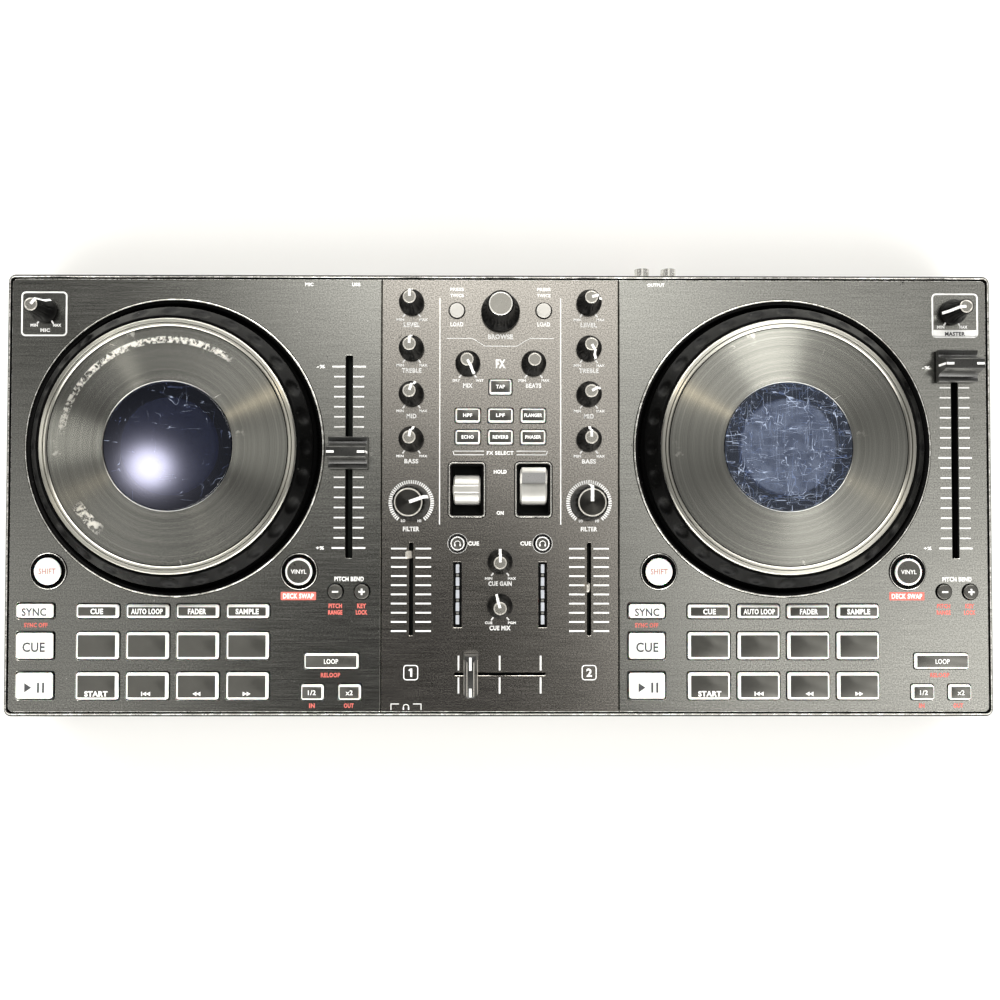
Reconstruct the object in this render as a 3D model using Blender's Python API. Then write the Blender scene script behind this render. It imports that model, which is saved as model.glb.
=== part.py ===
"""Two-deck DJ controller: a flat case with three panels, two jog wheels and a mixer.

The script works in millimetres and scales to metres as each mesh is made. The controls are laid
out on the top panel: X to the right, Y to the back, with the middle of the panel at (0, 0).
Z is measured from the table that the feet stand on.
"""

import math

import bmesh
import bpy

MM = 0.001

# Case
CASE_WIDTH = 534.0
CASE_DEPTH = 239.0
CASE_CORNER = 4.0
JACK_STICKOUT = 7.0
WALL = 2.5
GAP = 0.3
FOOT_RADIUS = 9.0
FOOT_RECESS = 1.0
FOOT_X = 240.0
FOOT_Y = 95.0

# Heights above the table
TRAY_BOTTOM = 4.0
TRAY_FLOOR = 6.5
SPLIT = 10.0
BOARD_BOTTOM = 16.0
BOARD_TOP = 17.6
POT_TOP = 26.5
WEB_BOTTOM = 28.4
WEB_TOP = 29.8
DECK_BOTTOM = 30.2
DECK_TOP = 32.3
PANEL_TOP = 34.2
PLATE_BOTTOM = DECK_TOP + GAP
SOCKET_Z = 21.0

# Rim and panels
RIM_CHAMFER = 1.3
RIM_WIDTH = 1.8
PLATE_INSET = 2.5
PLATE_CORNER = 1.5
SEAM_X = 64.3
SEAM_GAP = 0.6

# Decks: the right deck is the left deck moved along X
DECK_PITCH = 329.1
LEFT_DECK_X = -DECK_PITCH
JOG_X = 153.1
JOG_Y = 25.4
COLLAR_OUTER = 80.7
COLLAR_INNER = 77.0
COLLAR_RISE = 0.8
RING_OUTER = 75.5
PLATTER_OUTER = 67.9
PLATTER_RISE = 12.0
PLATTER_LIP = 3.2
WINDOW_RADIUS = 33.9
WINDOW_THICKNESS = 2.0
HUB_OUTER = 33.0
HUB_INNER = 29.5
HUB_HOLE = 34.0
SPINDLE_RADIUS = 12.0
DISPLAY_RADIUS = 27.5

PITCH_X = 247.2
PITCH_Y = 20.7
PITCH_SLOT = (3.8, 110.0)
PITCH_CAP = (21.0, 17.5)
LEFT_PITCH_OFFSET = 1.8
RIGHT_PITCH_OFFSET = 49.2

PAD_X = 112.75
PAD_PITCH = 26.85
PAD_COLUMNS = 4
PAD_ROWS = ((-62.85, 8.5), (-81.4, 15.6), (-103.0, 15.6))
PAD_HOLE_WIDTH = 23.9

TRANSPORT_X = 79.2
TRANSPORT_HOLE_WIDTH = 21.2
TRANSPORT_ROWS = ((-62.7, 9.2), (-81.4, 15.6), (-102.8, 15.6))

LOOP_KEYS = ((238.4, -89.6, 30.0, 9.0), (228.2, -106.3, 13.0, 9.0), (248.2, -106.3, 13.0, 9.0))
BEND_KEYS = ((240.3, -52.3), (254.6, -52.3))
SMALL_HOLE = 4.5
SMALL_BUTTON = 3.9
SHIFT_BUTTON = (85.8, -41.4)
SCRATCH_BUTTON = (220.7, -41.5)
ROUND_HOLE = 8.1
ROUND_BUTTON = 6.9

# Mixer
STRIP_X = 48.1
EQ_ROWS = (("level", 104.3), ("treble", 79.4), ("mid", 54.6), ("bass", 30.1))
FILTER_Y = -4.3
FX_COLUMNS = (-17.6, 0.1, 17.8)
FX_ROWS = (43.0, 31.2)
FX_HOLE = (14.3, 8.5)
TAP_KEY = (0.1, 58.5, 13.0, 8.9)
LOAD_BUTTONS = ((-23.6, 100.1), (23.6, 100.1))
CUE_BUTTONS = ((-23.0, -26.3), (22.9, -26.3))
CUE_HOLE = 4.9
CUE_BUTTON = 4.3
PADDLE_X = 18.0
PADDLE_Y = 2.75
PADDLE_OPENING = (16.3, 26.3)
PADDLE_DRUM = 8.2
PADDLE_WIDTH = 14.5
PADDLE_REACH = 15.2
PADDLE_THROW = math.radians(45.0)
PADDLE_Z = PANEL_TOP - 5.0
METER_X = 23.0
METER_Y = -53.95
METER_SIZE = (4.7, 35.5)
CHANNEL_SLOT = (2.2, 50.4)
CHANNEL_Y = -50.9
LEVER_SIZE = (1.1, 4.0)
LEVER_RISE = 9.0
LEVER_LEAN = 1.7
LEFT_LEVER_Y = -32.2
RIGHT_LEVER_Y = -49.9
CROSS_Y = -96.6
CROSS_SLOT = (49.3, 1.8)
CROSS_CAP_X = -15.7
CROSS_CAP = (6.0, 22.0)

KEY_RISE = 2.0
KEY_CLEARANCE = 0.5
WEB_MARGIN = 1.2
WINDOW_MARGIN = 0.6
SHAFT_RADIUS = 3.0
SHAFT_HOLE = 4.0

# Sockets
RCA_X = (79.3, 94.1)
RCA_SHELL = 4.15
RCA_BORE = 1.7
MIC_X = -105.5
USB_X = -75.7
USB_OPENING = (9.0, 8.2, 10.0)
PHONES_X = -55.0
EARPHONES_X = -45.5
QUARTER_INCH_BORE = 3.3
EIGHTH_INCH_BORE = 1.85
SOCKET_DEPTH = 16.0
# Notches in the walls, open at the bottom, that the sockets' plates fill
REAR_NOTCH = (-117.0, -66.0)
FRONT_NOTCH = (-63.5, -38.5)
SOCKET_NOTCHES = ((*REAR_NOTCH, 1), (*FRONT_NOTCH, -1))
NOTCH_TOP = 29.0
PLATE_SPLIT_X = -90.6

# Knob outlines from the skirt up: radius, height above the panel
SMALL_KNOB = ((6.75, 1.0), (6.75, 3.2), (4.8, 7.0), (3.9, 14.8))
CORNER_KNOB = ((6.75, 1.0), (6.75, 3.4), (4.9, 7.5), (3.9, 16.0))
FILTER_KNOB = ((9.8, 1.0), (9.8, 3.5), (8.3, 17.0), (7.3, 18.0))
BROWSE_KNOB = ((10.5, 1.0), (10.5, 3.5), (7.9, 7.5), (7.0, 21.8))

KNOBS = {
    "mic_knob": (-246.6, 99.5, CORNER_KNOB),
    "master_knob": (246.0, 99.5, CORNER_KNOB),
    "browse_knob": (0.1, 99.0, BROWSE_KNOB),
    "dry_wet_knob": (-17.6, 71.2, SMALL_KNOB),
    "beats_knob": (18.1, 71.2, SMALL_KNOB),
    "cue_gain_knob": (0.0, -36.1, SMALL_KNOB),
    "cue_mix_knob": (0.0, -60.0, SMALL_KNOB),
}
for side, sign in (("left", -1), ("right", 1)):
    for band, row_y in EQ_ROWS:
        KNOBS[f"{side}_{band}_knob"] = (sign * STRIP_X, row_y, SMALL_KNOB)
    KNOBS[f"{side}_filter_knob"] = (sign * STRIP_X, FILTER_Y, FILTER_KNOB)

KNOB_SIDES = 14
SHAFT_HOLE_SIDES = 8
HOLE_SIDES = 12
BUTTON_SIDES = 12
JOG_SIDES = 36
HUB_HOLE_SIDES = 24


# ---------------------------------------------------------------- finishes

def finish(name, colour, roughness, metallic=0.0):
    """A Principled material with one colour."""
    made = bpy.data.materials.new(name)
    made.use_nodes = True
    shader = made.node_tree.nodes["Principled BSDF"]
    shader.inputs["Base Color"].default_value = (*colour, 1.0)
    shader.inputs["Roughness"].default_value = roughness
    shader.inputs["Metallic"].default_value = metallic
    return made


def make_finishes():
    return {
        "case": finish("case_steel", (0.055, 0.055, 0.05), 0.4, 0.6),
        "plate": finish("brushed_panel", (0.17, 0.17, 0.16), 0.38, 0.9),
        "mixer": finish("sparkle_panel", (0.13, 0.13, 0.12), 0.42, 0.8),
        "board": finish("circuit_board", (0.02, 0.12, 0.05), 0.5),
        "rubber": finish("black_rubber", (0.012, 0.012, 0.012), 0.7),
        "socket": finish("socket_plastic", (0.015, 0.015, 0.015), 0.45),
        "steel": finish("bright_steel", (0.62, 0.61, 0.58), 0.25, 1.0),
        "platter": finish("brushed_aluminium", (0.45, 0.45, 0.43), 0.3, 1.0),
        "window": finish("clear_window", (0.05, 0.07, 0.08), 0.1),
        "display": finish("display_face", (0.02, 0.03, 0.045), 0.3),
        "knob": finish("knob_rubber", (0.02, 0.02, 0.02), 0.55),
        "key": finish("white_keys", (0.75, 0.75, 0.7), 0.4),
        "cap": finish("fader_cap", (0.03, 0.03, 0.03), 0.4),
    }


# ---------------------------------------------------------------- outlines

def rectangle(x, y, width, depth):
    """Corners of a rectangle about (x, y), anticlockwise."""
    half_w, half_d = width / 2, depth / 2
    return [
        (x - half_w, y - half_d),
        (x + half_w, y - half_d),
        (x + half_w, y + half_d),
        (x - half_w, y + half_d),
    ]


def rounded_rectangle(x0, x1, y0, y1, radii, steps=3):
    """A rectangle whose four corners, from (x0, y0) anticlockwise, have their own radii."""
    corners = ((x0, y0, 1, 1), (x1, y0, -1, 1), (x1, y1, -1, -1), (x0, y1, 1, -1))
    points = []
    for quarter, ((x, y, in_x, in_y), radius) in enumerate(zip(corners, radii)):
        if radius == 0:
            points.append((x, y))
            continue
        for step in range(steps + 1):
            angle = math.pi * (1.0 + quarter / 2) + math.pi / 2 * step / steps
            centre_x = x + in_x * radius
            centre_y = y + in_y * radius
            points.append((centre_x + radius * math.cos(angle), centre_y + radius * math.sin(angle)))
    return points


def case_outline(inset):
    """The case's rounded outline, moved in by inset."""
    half_w = CASE_WIDTH / 2 - inset
    half_d = CASE_DEPTH / 2 - inset
    radius = max(CASE_CORNER - inset, 0.5)
    return rounded_rectangle(-half_w, half_w, -half_d, half_d, (radius,) * 4)


def circle(x, y, radius, sides):
    return [
        (x + radius * math.cos(math.tau * k / sides), y + radius * math.sin(math.tau * k / sides))
        for k in range(sides)
    ]


def round_hole(x, y, radius):
    """A shaft's clearance hole has fewer sides than a button's close-fitting one."""
    return circle(x, y, radius, SHAFT_HOLE_SIDES if radius == SHAFT_HOLE else HOLE_SIDES)


# ---------------------------------------------------------------- solids

def stack(bm, levels):
    """A solid skinned over outlines with equal point counts, given as (outline, z) upwards."""
    rings = [[bm.verts.new((x * MM, y * MM, z * MM)) for x, y in points] for points, z in levels]
    for lower, upper in zip(rings, rings[1:]):
        count = len(lower)
        for k in range(count):
            after = (k + 1) % count
            bm.faces.new((lower[k], lower[after], upper[after], upper[k]))
    bm.faces.new(list(reversed(rings[0])))
    bm.faces.new(rings[-1])


def block(bm, outline, z0, z1):
    """A prism on an outline."""
    stack(bm, ((outline, z0), (outline, z1)))


def turn(bm, profile, sides):
    """A solid of revolution about Z. A profile off the axis closes on itself."""
    verts = [bm.verts.new((radius * MM, 0.0, z * MM)) for radius, z in profile]
    edges = [bm.edges.new(pair) for pair in zip(verts, verts[1:])]
    if profile[0][0] > 0.0:
        edges.append(bm.edges.new((verts[-1], verts[0])))
    bmesh.ops.spin(
        bm,
        geom=verts + edges,
        cent=(0.0, 0.0, 0.0),
        axis=(0.0, 0.0, 1.0),
        angle=math.tau,
        steps=sides,
    )
    bmesh.ops.remove_doubles(bm, verts=bm.verts, dist=MM * 0.001)
    bmesh.ops.recalc_face_normals(bm, faces=bm.faces)


def rod_along_y(bm, x, z, radius, y0, y1, sides=12):
    """A cylinder that runs along Y."""
    rings = []
    for y in (y0, y1):
        ring = []
        for k in range(sides):
            angle = math.tau * k / sides
            spot = ((x + radius * math.cos(angle)) * MM, y * MM, (z + radius * math.sin(angle)) * MM)
            ring.append(bm.verts.new(spot))
        rings.append(ring)
    for k in range(sides):
        after = (k + 1) % sides
        bm.faces.new((rings[0][k], rings[0][after], rings[1][after], rings[1][k]))
    bm.faces.new(list(reversed(rings[0])))
    bm.faces.new(rings[1])
    bmesh.ops.recalc_face_normals(bm, faces=bm.faces)


def extrude_along_x(bm, section, x0, x1):
    """A prism along X on a (y, z) section."""
    ends = [[bm.verts.new((x * MM, y * MM, z * MM)) for y, z in section] for x in (x0, x1)]
    count = len(section)
    for k in range(count):
        after = (k + 1) % count
        bm.faces.new((ends[0][k], ends[0][after], ends[1][after], ends[1][k]))
    bm.faces.new(list(reversed(ends[0])))
    bm.faces.new(ends[1])
    bmesh.ops.recalc_face_normals(bm, faces=bm.faces)


# ---------------------------------------------------------------- objects

def add(name, bm, paint, spot=(0.0, 0.0, 0.0)):
    """One named object, with its origin at a spot on the case."""
    bmesh.ops.recalc_face_normals(bm, faces=bm.faces)
    mesh = bpy.data.meshes.new(name)
    bm.to_mesh(mesh)
    bm.free()
    made = bpy.data.objects.new(name, mesh)
    made.location = [value * MM for value in spot]
    made.parent = bpy.data.objects["case_centre"]
    if paint:
        mesh.materials.append(paint)
        mesh.shade_smooth()
        mesh.set_sharp_from_angle(angle=math.radians(35.0))
    bpy.context.scene.collection.objects.link(made)
    return made


def add_tool(name, bm, spot=(0.0, 0.0, 0.0)):
    """A solid that only shapes another one."""
    made = add(name, bm, None, spot)
    made.hide_render = True
    made.display_type = "WIRE"
    return made


def combine(target, tool, operation):
    step = target.modifiers.new(tool.name, "BOOLEAN")
    step.object = tool
    step.operation = operation
    step.solver = "EXACT"


def deck_offset(side):
    """How far a deck is moved from the right deck, where the layout is written down."""
    return LEFT_DECK_X if side == "left" else 0.0


# ---------------------------------------------------------------- control layout

def round_controls():
    """Every round hole: x, y, radius in the panel, radius in the case's deck."""
    holes = [(x, y, SHAFT_HOLE, SHAFT_HOLE) for x, y, _ in KNOBS.values()]
    for side in ("left", "right"):
        shift = deck_offset(side)
        for x, y in (SHIFT_BUTTON, SCRATCH_BUTTON):
            holes.append((x + shift, y, ROUND_HOLE, ROUND_HOLE - GAP))
        holes.extend((x + shift, y, SMALL_HOLE, None) for x, y in BEND_KEYS)
    holes.extend((x, y, SMALL_HOLE, SMALL_HOLE + GAP) for x, y in LOAD_BUTTONS)
    holes.extend((x, y, CUE_HOLE, CUE_HOLE + GAP) for x, y in CUE_BUTTONS)
    return holes


def pad_cells(shift):
    cells = []
    for row_y, height in PAD_ROWS:
        for column in range(PAD_COLUMNS):
            cells.append((PAD_X + PAD_PITCH * column + shift, row_y, PAD_HOLE_WIDTH, height))
    return cells


def transport_cells(shift):
    return [(TRANSPORT_X + shift, y, TRANSPORT_HOLE_WIDTH, height) for y, height in TRANSPORT_ROWS]


def loop_cells(shift):
    return [(x + shift, y, width, depth) for x, y, width, depth in LOOP_KEYS]


def fx_cells():
    return [(x, y, *FX_HOLE) for y in FX_ROWS for x in FX_COLUMNS]


def panel_rectangles():
    """Every square-cornered hole in the panels."""
    cells = fx_cells() + [TAP_KEY]
    for side in ("left", "right"):
        shift = deck_offset(side)
        cells += pad_cells(shift) + transport_cells(shift) + loop_cells(shift)
        cells.append((PITCH_X + shift, PITCH_Y, *PITCH_SLOT))
    for sign in (-1, 1):
        cells.append((sign * PADDLE_X, PADDLE_Y, *PADDLE_OPENING))
        cells.append((sign * METER_X, METER_Y, *METER_SIZE))
        cells.append((sign * STRIP_X, CHANNEL_Y, *CHANNEL_SLOT))
    cells.append((0.0, CROSS_Y, *CROSS_SLOT))
    return cells


def around(cells, margin):
    """The box about a group of cells, as x, y, width, depth."""
    x0 = min(x - w / 2 for x, y, w, d in cells) - margin
    x1 = max(x + w / 2 for x, y, w, d in cells) + margin
    y0 = min(y - d / 2 for x, y, w, d in cells) - margin
    y1 = max(y + d / 2 for x, y, w, d in cells) + margin
    return ((x0 + x1) / 2, (y0 + y1) / 2, x1 - x0, y1 - y0)


def bend_cells(shift):
    return [(x + shift, y, 2 * SMALL_HOLE, 2 * SMALL_HOLE) for x, y in BEND_KEYS]


def deck_windows():
    """The case's deck is open under each group of keys and under each fader slot."""
    cells = [around(fx_cells(), WINDOW_MARGIN), around([TAP_KEY], WINDOW_MARGIN)]
    for side in ("left", "right"):
        shift = deck_offset(side)
        cells.append(around(pad_cells(shift), WINDOW_MARGIN))
        cells.append(around(transport_cells(shift), WINDOW_MARGIN))
        cells.append(around(loop_cells(shift), WINDOW_MARGIN))
        cells.append(around(bend_cells(shift), WINDOW_MARGIN))
        cells.append(around([(PITCH_X + shift, PITCH_Y, *PITCH_SLOT)], WINDOW_MARGIN))
    for sign in (-1, 1):
        cells.append(around([(sign * PADDLE_X, PADDLE_Y, *PADDLE_OPENING)], WINDOW_MARGIN))
        cells.append(around([(sign * STRIP_X, CHANNEL_Y, *CHANNEL_SLOT)], WINDOW_MARGIN))
    cells.append(around([(0.0, CROSS_Y, *CROSS_SLOT)], WINDOW_MARGIN))
    return cells


# ---------------------------------------------------------------- case

def make_bottom_case(paint):
    bm = bmesh.new()
    stack(bm, (
        (case_outline(1.2), TRAY_BOTTOM),
        (case_outline(0.0), TRAY_BOTTOM + 1.2),
        (case_outline(0.0), SPLIT),
        (case_outline(WALL), SPLIT),
        (case_outline(WALL), TRAY_FLOOR),
    ))
    tray = add("bottom_case", bm, paint)
    bm = bmesh.new()
    for x in (-FOOT_X, FOOT_X):
        for y in (-FOOT_Y, FOOT_Y):
            recess = circle(x, y, FOOT_RADIUS + 2 * GAP, HOLE_SIDES)
            block(bm, recess, 0.0, TRAY_BOTTOM + FOOT_RECESS)
    combine(tray, add_tool("foot_recess_tool", bm), "DIFFERENCE")


def make_top_case(paint):
    """Side walls, deck and rim in one shell, open underneath."""
    bm = bmesh.new()
    stack(bm, (
        (case_outline(WALL), DECK_BOTTOM),
        (case_outline(WALL), SPLIT + GAP),
        (case_outline(0.0), SPLIT + GAP),
        (case_outline(0.0), PANEL_TOP - RIM_CHAMFER),
        (case_outline(RIM_CHAMFER), PANEL_TOP),
        (case_outline(RIM_WIDTH), PANEL_TOP),
        (case_outline(RIM_WIDTH), DECK_TOP),
    ))
    shell = add("top_case", bm, paint)

    bm = bmesh.new()
    for x, y, width, depth in deck_windows():
        block(bm, rectangle(x, y, width, depth), DECK_BOTTOM - 1, DECK_TOP + 1)
    for x, y, _, radius in round_controls():
        if radius:
            block(bm, round_hole(x, y, radius), DECK_BOTTOM - 1, DECK_TOP + 1)
    for side in ("left", "right"):
        x = JOG_X + deck_offset(side)
        block(bm, circle(x, JOG_Y, HUB_HOLE, HUB_HOLE_SIDES), DECK_BOTTOM - 1, DECK_TOP + 1)
    combine(shell, add_tool("deck_hole_tool", bm), "DIFFERENCE")

    bm = bmesh.new()
    back = CASE_DEPTH / 2
    for x in RCA_X:
        rod_along_y(bm, x, SOCKET_Z, RCA_SHELL + GAP, back - WALL - 1, back + 1)
    for x0, x1, outward in SOCKET_NOTCHES:
        notch = rectangle((x0 + x1) / 2, outward * (back - WALL / 2), x1 - x0, WALL + 2)
        block(bm, notch, SPLIT - 1, NOTCH_TOP)
    combine(shell, add_tool("socket_hole_tool", bm), "DIFFERENCE")

    for side in ("left", "right"):
        bm = bmesh.new()
        turn(bm, (
            (COLLAR_INNER, DECK_TOP - 0.8),
            (COLLAR_OUTER, DECK_TOP - 0.8),
            (COLLAR_OUTER, PANEL_TOP + COLLAR_RISE),
            (COLLAR_OUTER - 1.2, PANEL_TOP + COLLAR_RISE),
            (COLLAR_INNER, PANEL_TOP - 0.6),
        ), JOG_SIDES)
        spot = (JOG_X + deck_offset(side), JOG_Y, 0.0)
        combine(shell, add_tool(f"{side}_collar_tool", bm, spot), "UNION")


def make_panel(name, x0, x1, radii, paint):
    """One faceplate, cut for every control that stands in it."""
    half_d = CASE_DEPTH / 2 - PLATE_INSET
    bm = bmesh.new()
    block(bm, rounded_rectangle(x0, x1, -half_d, half_d, radii), PLATE_BOTTOM, PANEL_TOP)
    plate = add(name, bm, paint)
    bm = bmesh.new()
    for x, y, radius, _ in round_controls():
        if x0 < x < x1:
            block(bm, round_hole(x, y, radius), PLATE_BOTTOM - 1, PANEL_TOP + 1)
    for x, y, width, depth in panel_rectangles():
        if x0 < x < x1:
            block(bm, rectangle(x, y, width, depth), PLATE_BOTTOM - 1, PANEL_TOP + 1)
    for side in ("left", "right"):
        x = JOG_X + deck_offset(side)
        if x0 < x < x1:
            jog_hole = circle(x, JOG_Y, COLLAR_OUTER + GAP, JOG_SIDES)
            block(bm, jog_hole, PLATE_BOTTOM - 1, PANEL_TOP + 1)
    combine(plate, add_tool(f"{name}_hole_tool", bm), "DIFFERENCE")


def make_panels(paints):
    edge = CASE_WIDTH / 2 - PLATE_INSET
    near = SEAM_X - SEAM_GAP / 2
    far = SEAM_X + SEAM_GAP / 2
    round_left = (PLATE_CORNER, 0, 0, PLATE_CORNER)
    round_right = (0, PLATE_CORNER, PLATE_CORNER, 0)
    make_panel("left_faceplate", -edge, -far, round_left, paints["plate"])
    make_panel("right_faceplate", far, edge, round_right, paints["plate"])
    make_panel("mixer_faceplate", -near, near, (0, 0, 0, 0), paints["mixer"])


def make_feet(paint):
    for end, y in (("front", -FOOT_Y), ("rear", FOOT_Y)):
        for side, x in (("left", -FOOT_X), ("right", FOOT_X)):
            bm = bmesh.new()
            top = TRAY_BOTTOM + FOOT_RECESS - GAP
            profile = ((0, top), (FOOT_RADIUS, top), (FOOT_RADIUS, 1.0), (FOOT_RADIUS - 1, 0), (0, 0))
            turn(bm, profile, HOLE_SIDES)
            add(f"{end}_{side}_foot", bm, paint, (x, y, 0.0))


# ---------------------------------------------------------------- inside

def make_circuit_board(paint):
    """The board with a pot under each knob and a track under each fader."""
    bm = bmesh.new()
    block(bm, rectangle(0, 0, 522, 226), BOARD_BOTTOM, BOARD_TOP)
    board = add("main_circuit_board", bm, paint)

    bm = bmesh.new()
    for x in (RCA_X[0] + 7.4, (MIC_X + USB_X) / 2):
        block(bm, rectangle(x, 106, 56, 30), BOARD_BOTTOM - 1, BOARD_TOP + 1)
    block(bm, rectangle(-50, -106, 28, 34), BOARD_BOTTOM - 1, BOARD_TOP + 1)
    combine(board, add_tool("board_notch_tool", bm), "DIFFERENCE")

    bm = bmesh.new()
    under = (BOARD_TOP + BOARD_BOTTOM) / 2
    for x, y, _ in KNOBS.values():
        block(bm, rectangle(x, y, 10.5, 10.5), under, POT_TOP)
    for side in ("left", "right"):
        block(bm, rectangle(PITCH_X + deck_offset(side), PITCH_Y, 11, 126), under, POT_TOP)
    for sign in (-1, 1):
        block(bm, rectangle(sign * STRIP_X, CHANNEL_Y, 10.5, 62), under, POT_TOP)
    block(bm, rectangle(0, CROSS_Y, 62, 10.5), under, POT_TOP)
    combine(board, add_tool("board_parts_tool", bm), "UNION")


def socket_plate(x0, x1, outward):
    """A plate that fills its share of a notch in the wall, flush with the wall's outside."""
    bm = bmesh.new()
    inner = CASE_DEPTH / 2 - WALL - 2 * GAP
    middle = outward * (CASE_DEPTH / 2 + inner) / 2
    outline = rectangle((x0 + x1) / 2, middle, x1 - x0 - 2 * GAP, CASE_DEPTH / 2 - inner)
    block(bm, outline, SPLIT + GAP, NOTCH_TOP - GAP)
    return bm


def make_socket(name, body, barrels, bores, outward, paint, plate=None):
    """A moulded socket block behind a wall, with barrels or a plate through the wall.

    body is x, width, depth. A barrel is x, radius, how far it passes the wall's outside.
    A bore is x, radius. outward is 1 at the back and -1 at the front. plate is x0, x1.
    """
    wall_inside = outward * (CASE_DEPTH / 2 - WALL - GAP)
    wall_outside = outward * CASE_DEPTH / 2
    x, width, depth = body
    bm = bmesh.new()
    middle = wall_inside - outward * depth / 2
    block(bm, rectangle(x, middle, width, depth), SOCKET_Z - 6.5, SOCKET_Z + 6.5)
    made = add(name, bm, paint)
    bm = bmesh.new()
    for barrel_x, radius, past in barrels:
        ends = (wall_inside - outward, wall_outside + outward * past)
        rod_along_y(bm, barrel_x, SOCKET_Z, radius, min(ends), max(ends))
    if barrels:
        combine(made, add_tool(f"{name}_barrel_tool", bm), "UNION")
    if plate:
        combine(made, add_tool(f"{name}_plate_tool", socket_plate(*plate, outward)), "UNION")
    bm = bmesh.new()
    for bore_x, radius in bores:
        ends = (wall_outside - outward * SOCKET_DEPTH, wall_outside + outward * (JACK_STICKOUT + 1))
        rod_along_y(bm, bore_x, SOCKET_Z, radius, min(ends), max(ends))
    combine(made, add_tool(f"{name}_bore_tool", bm), "DIFFERENCE")


def make_sockets(paint):
    rca_middle = sum(RCA_X) / 2
    shells = [(x, RCA_SHELL, JACK_STICKOUT) for x in RCA_X]
    pins = [(x, RCA_BORE) for x in RCA_X]
    make_socket("rca_jacks", (rca_middle, 30, 17), shells, pins, 1, paint)
    mic_bore = [(MIC_X, QUARTER_INCH_BORE)]
    mic_plate = (REAR_NOTCH[0], PLATE_SPLIT_X)
    make_socket("mic_jack", (MIC_X, 16, 20), (), mic_bore, 1, paint, mic_plate)
    bores = [(PHONES_X, QUARTER_INCH_BORE), (EARPHONES_X, EIGHTH_INCH_BORE)]
    middle = (PHONES_X + EARPHONES_X) / 2 - 1.0
    make_socket("headphone_jacks", (middle, 22, 20), (), bores, -1, paint, FRONT_NOTCH)


def make_usb_socket(paint):
    wide, high, deep = USB_OPENING
    face = CASE_DEPTH / 2
    bm = bmesh.new()
    outline = rectangle(USB_X, face - 9.0, wide + 3.0, 18.0)
    block(bm, outline, SOCKET_Z - high / 2 - 1.5, SOCKET_Z + high / 2 + 1.5)
    made = add("usb_socket", bm, paint)
    plate = socket_plate(PLATE_SPLIT_X, REAR_NOTCH[1], 1)
    combine(made, add_tool("usb_plate_tool", plate), "UNION")
    bm = bmesh.new()
    mouth = rectangle(USB_X, face - deep / 2 + 1.0, wide, deep + 2.0)
    block(bm, mouth, SOCKET_Z - high / 2, SOCKET_Z + high / 2)
    combine(made, add_tool("usb_mouth_tool", bm), "DIFFERENCE")


# ---------------------------------------------------------------- jog wheels

def make_jog(side, paints):
    """Platter, grip ring and window turn together round the fixed display's post."""
    spot = (JOG_X + deck_offset(side), JOG_Y, PANEL_TOP)
    top = PLATTER_RISE
    ledge = top - WINDOW_THICKNESS - GAP
    bore = SPINDLE_RADIUS + GAP

    bm = bmesh.new()
    turn(bm, (
        (WINDOW_RADIUS + GAP, top),
        (PLATTER_OUTER - 1.0, top),
        (PLATTER_OUTER, top - 1.0),
        (PLATTER_OUTER, top - PLATTER_LIP),
        (HUB_OUTER, top - PLATTER_LIP),
        (HUB_OUTER, -7.0),
        (bore, -7.0),
        (bore, -4.5),
        (HUB_INNER, -4.5),
        (HUB_INNER, ledge),
        (WINDOW_RADIUS + GAP, ledge),
    ), JOG_SIDES)
    add(f"{side}_jog_platter", bm, paints["platter"], spot)

    bm = bmesh.new()
    inner = PLATTER_OUTER + GAP
    under = top - PLATTER_LIP - GAP
    turn(bm, (
        (inner, top - 0.9),
        (inner + 1.4, top - 1.0),
        (RING_OUTER, 4.0),
        (RING_OUTER, 1.0),
        (60.0, 1.0),
        (60.0, under),
        (inner, under),
    ), JOG_SIDES)
    add(f"{side}_jog_ring", bm, paints["rubber"], spot)

    bm = bmesh.new()
    turn(bm, (
        (0.0, top),
        (WINDOW_RADIUS, top),
        (WINDOW_RADIUS, top - WINDOW_THICKNESS),
        (0.0, top - WINDOW_THICKNESS),
    ), JOG_SIDES)
    add(f"{side}_jog_window", bm, paints["window"], spot)

    bm = bmesh.new()
    post_foot = BOARD_TOP + GAP - PANEL_TOP
    turn(bm, (
        (0.0, ledge - 2.0),
        (DISPLAY_RADIUS, ledge - 2.0),
        (DISPLAY_RADIUS, ledge - 5.0),
        (SPINDLE_RADIUS, ledge - 5.0),
        (SPINDLE_RADIUS, post_foot),
        (0.0, post_foot),
    ), HUB_HOLE_SIDES)
    add(f"{side}_jog_display", bm, paints["display"], spot)


# ---------------------------------------------------------------- knobs

def make_knobs(paint):
    """Each knob and its shaft, down to the pot on the board."""
    for name, (x, y, outline) in KNOBS.items():
        foot = POT_TOP + GAP - PANEL_TOP
        skirt = outline[0][1]
        profile = [(0.0, foot), (SHAFT_RADIUS, foot), (SHAFT_RADIUS, skirt)]
        profile += list(outline) + [(0.0, outline[-1][1])]
        bm = bmesh.new()
        turn(bm, profile, KNOB_SIDES)
        add(name, bm, paint, (x, y, PANEL_TOP))


# ---------------------------------------------------------------- keys and buttons

def key_stack(bm, cell, rise):
    """One key cap: straight in its hole, then drawn in to its top face."""
    x, y, width, depth = cell
    width -= 2 * KEY_CLEARANCE
    depth -= 2 * KEY_CLEARANCE
    stack(bm, (
        (rectangle(x, y, width, depth), (WEB_BOTTOM + WEB_TOP) / 2),
        (rectangle(x, y, width, depth), PANEL_TOP + 0.6),
        (rectangle(x, y, width - 2.4, depth - 2.4), PANEL_TOP + rise),
    ))


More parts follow.
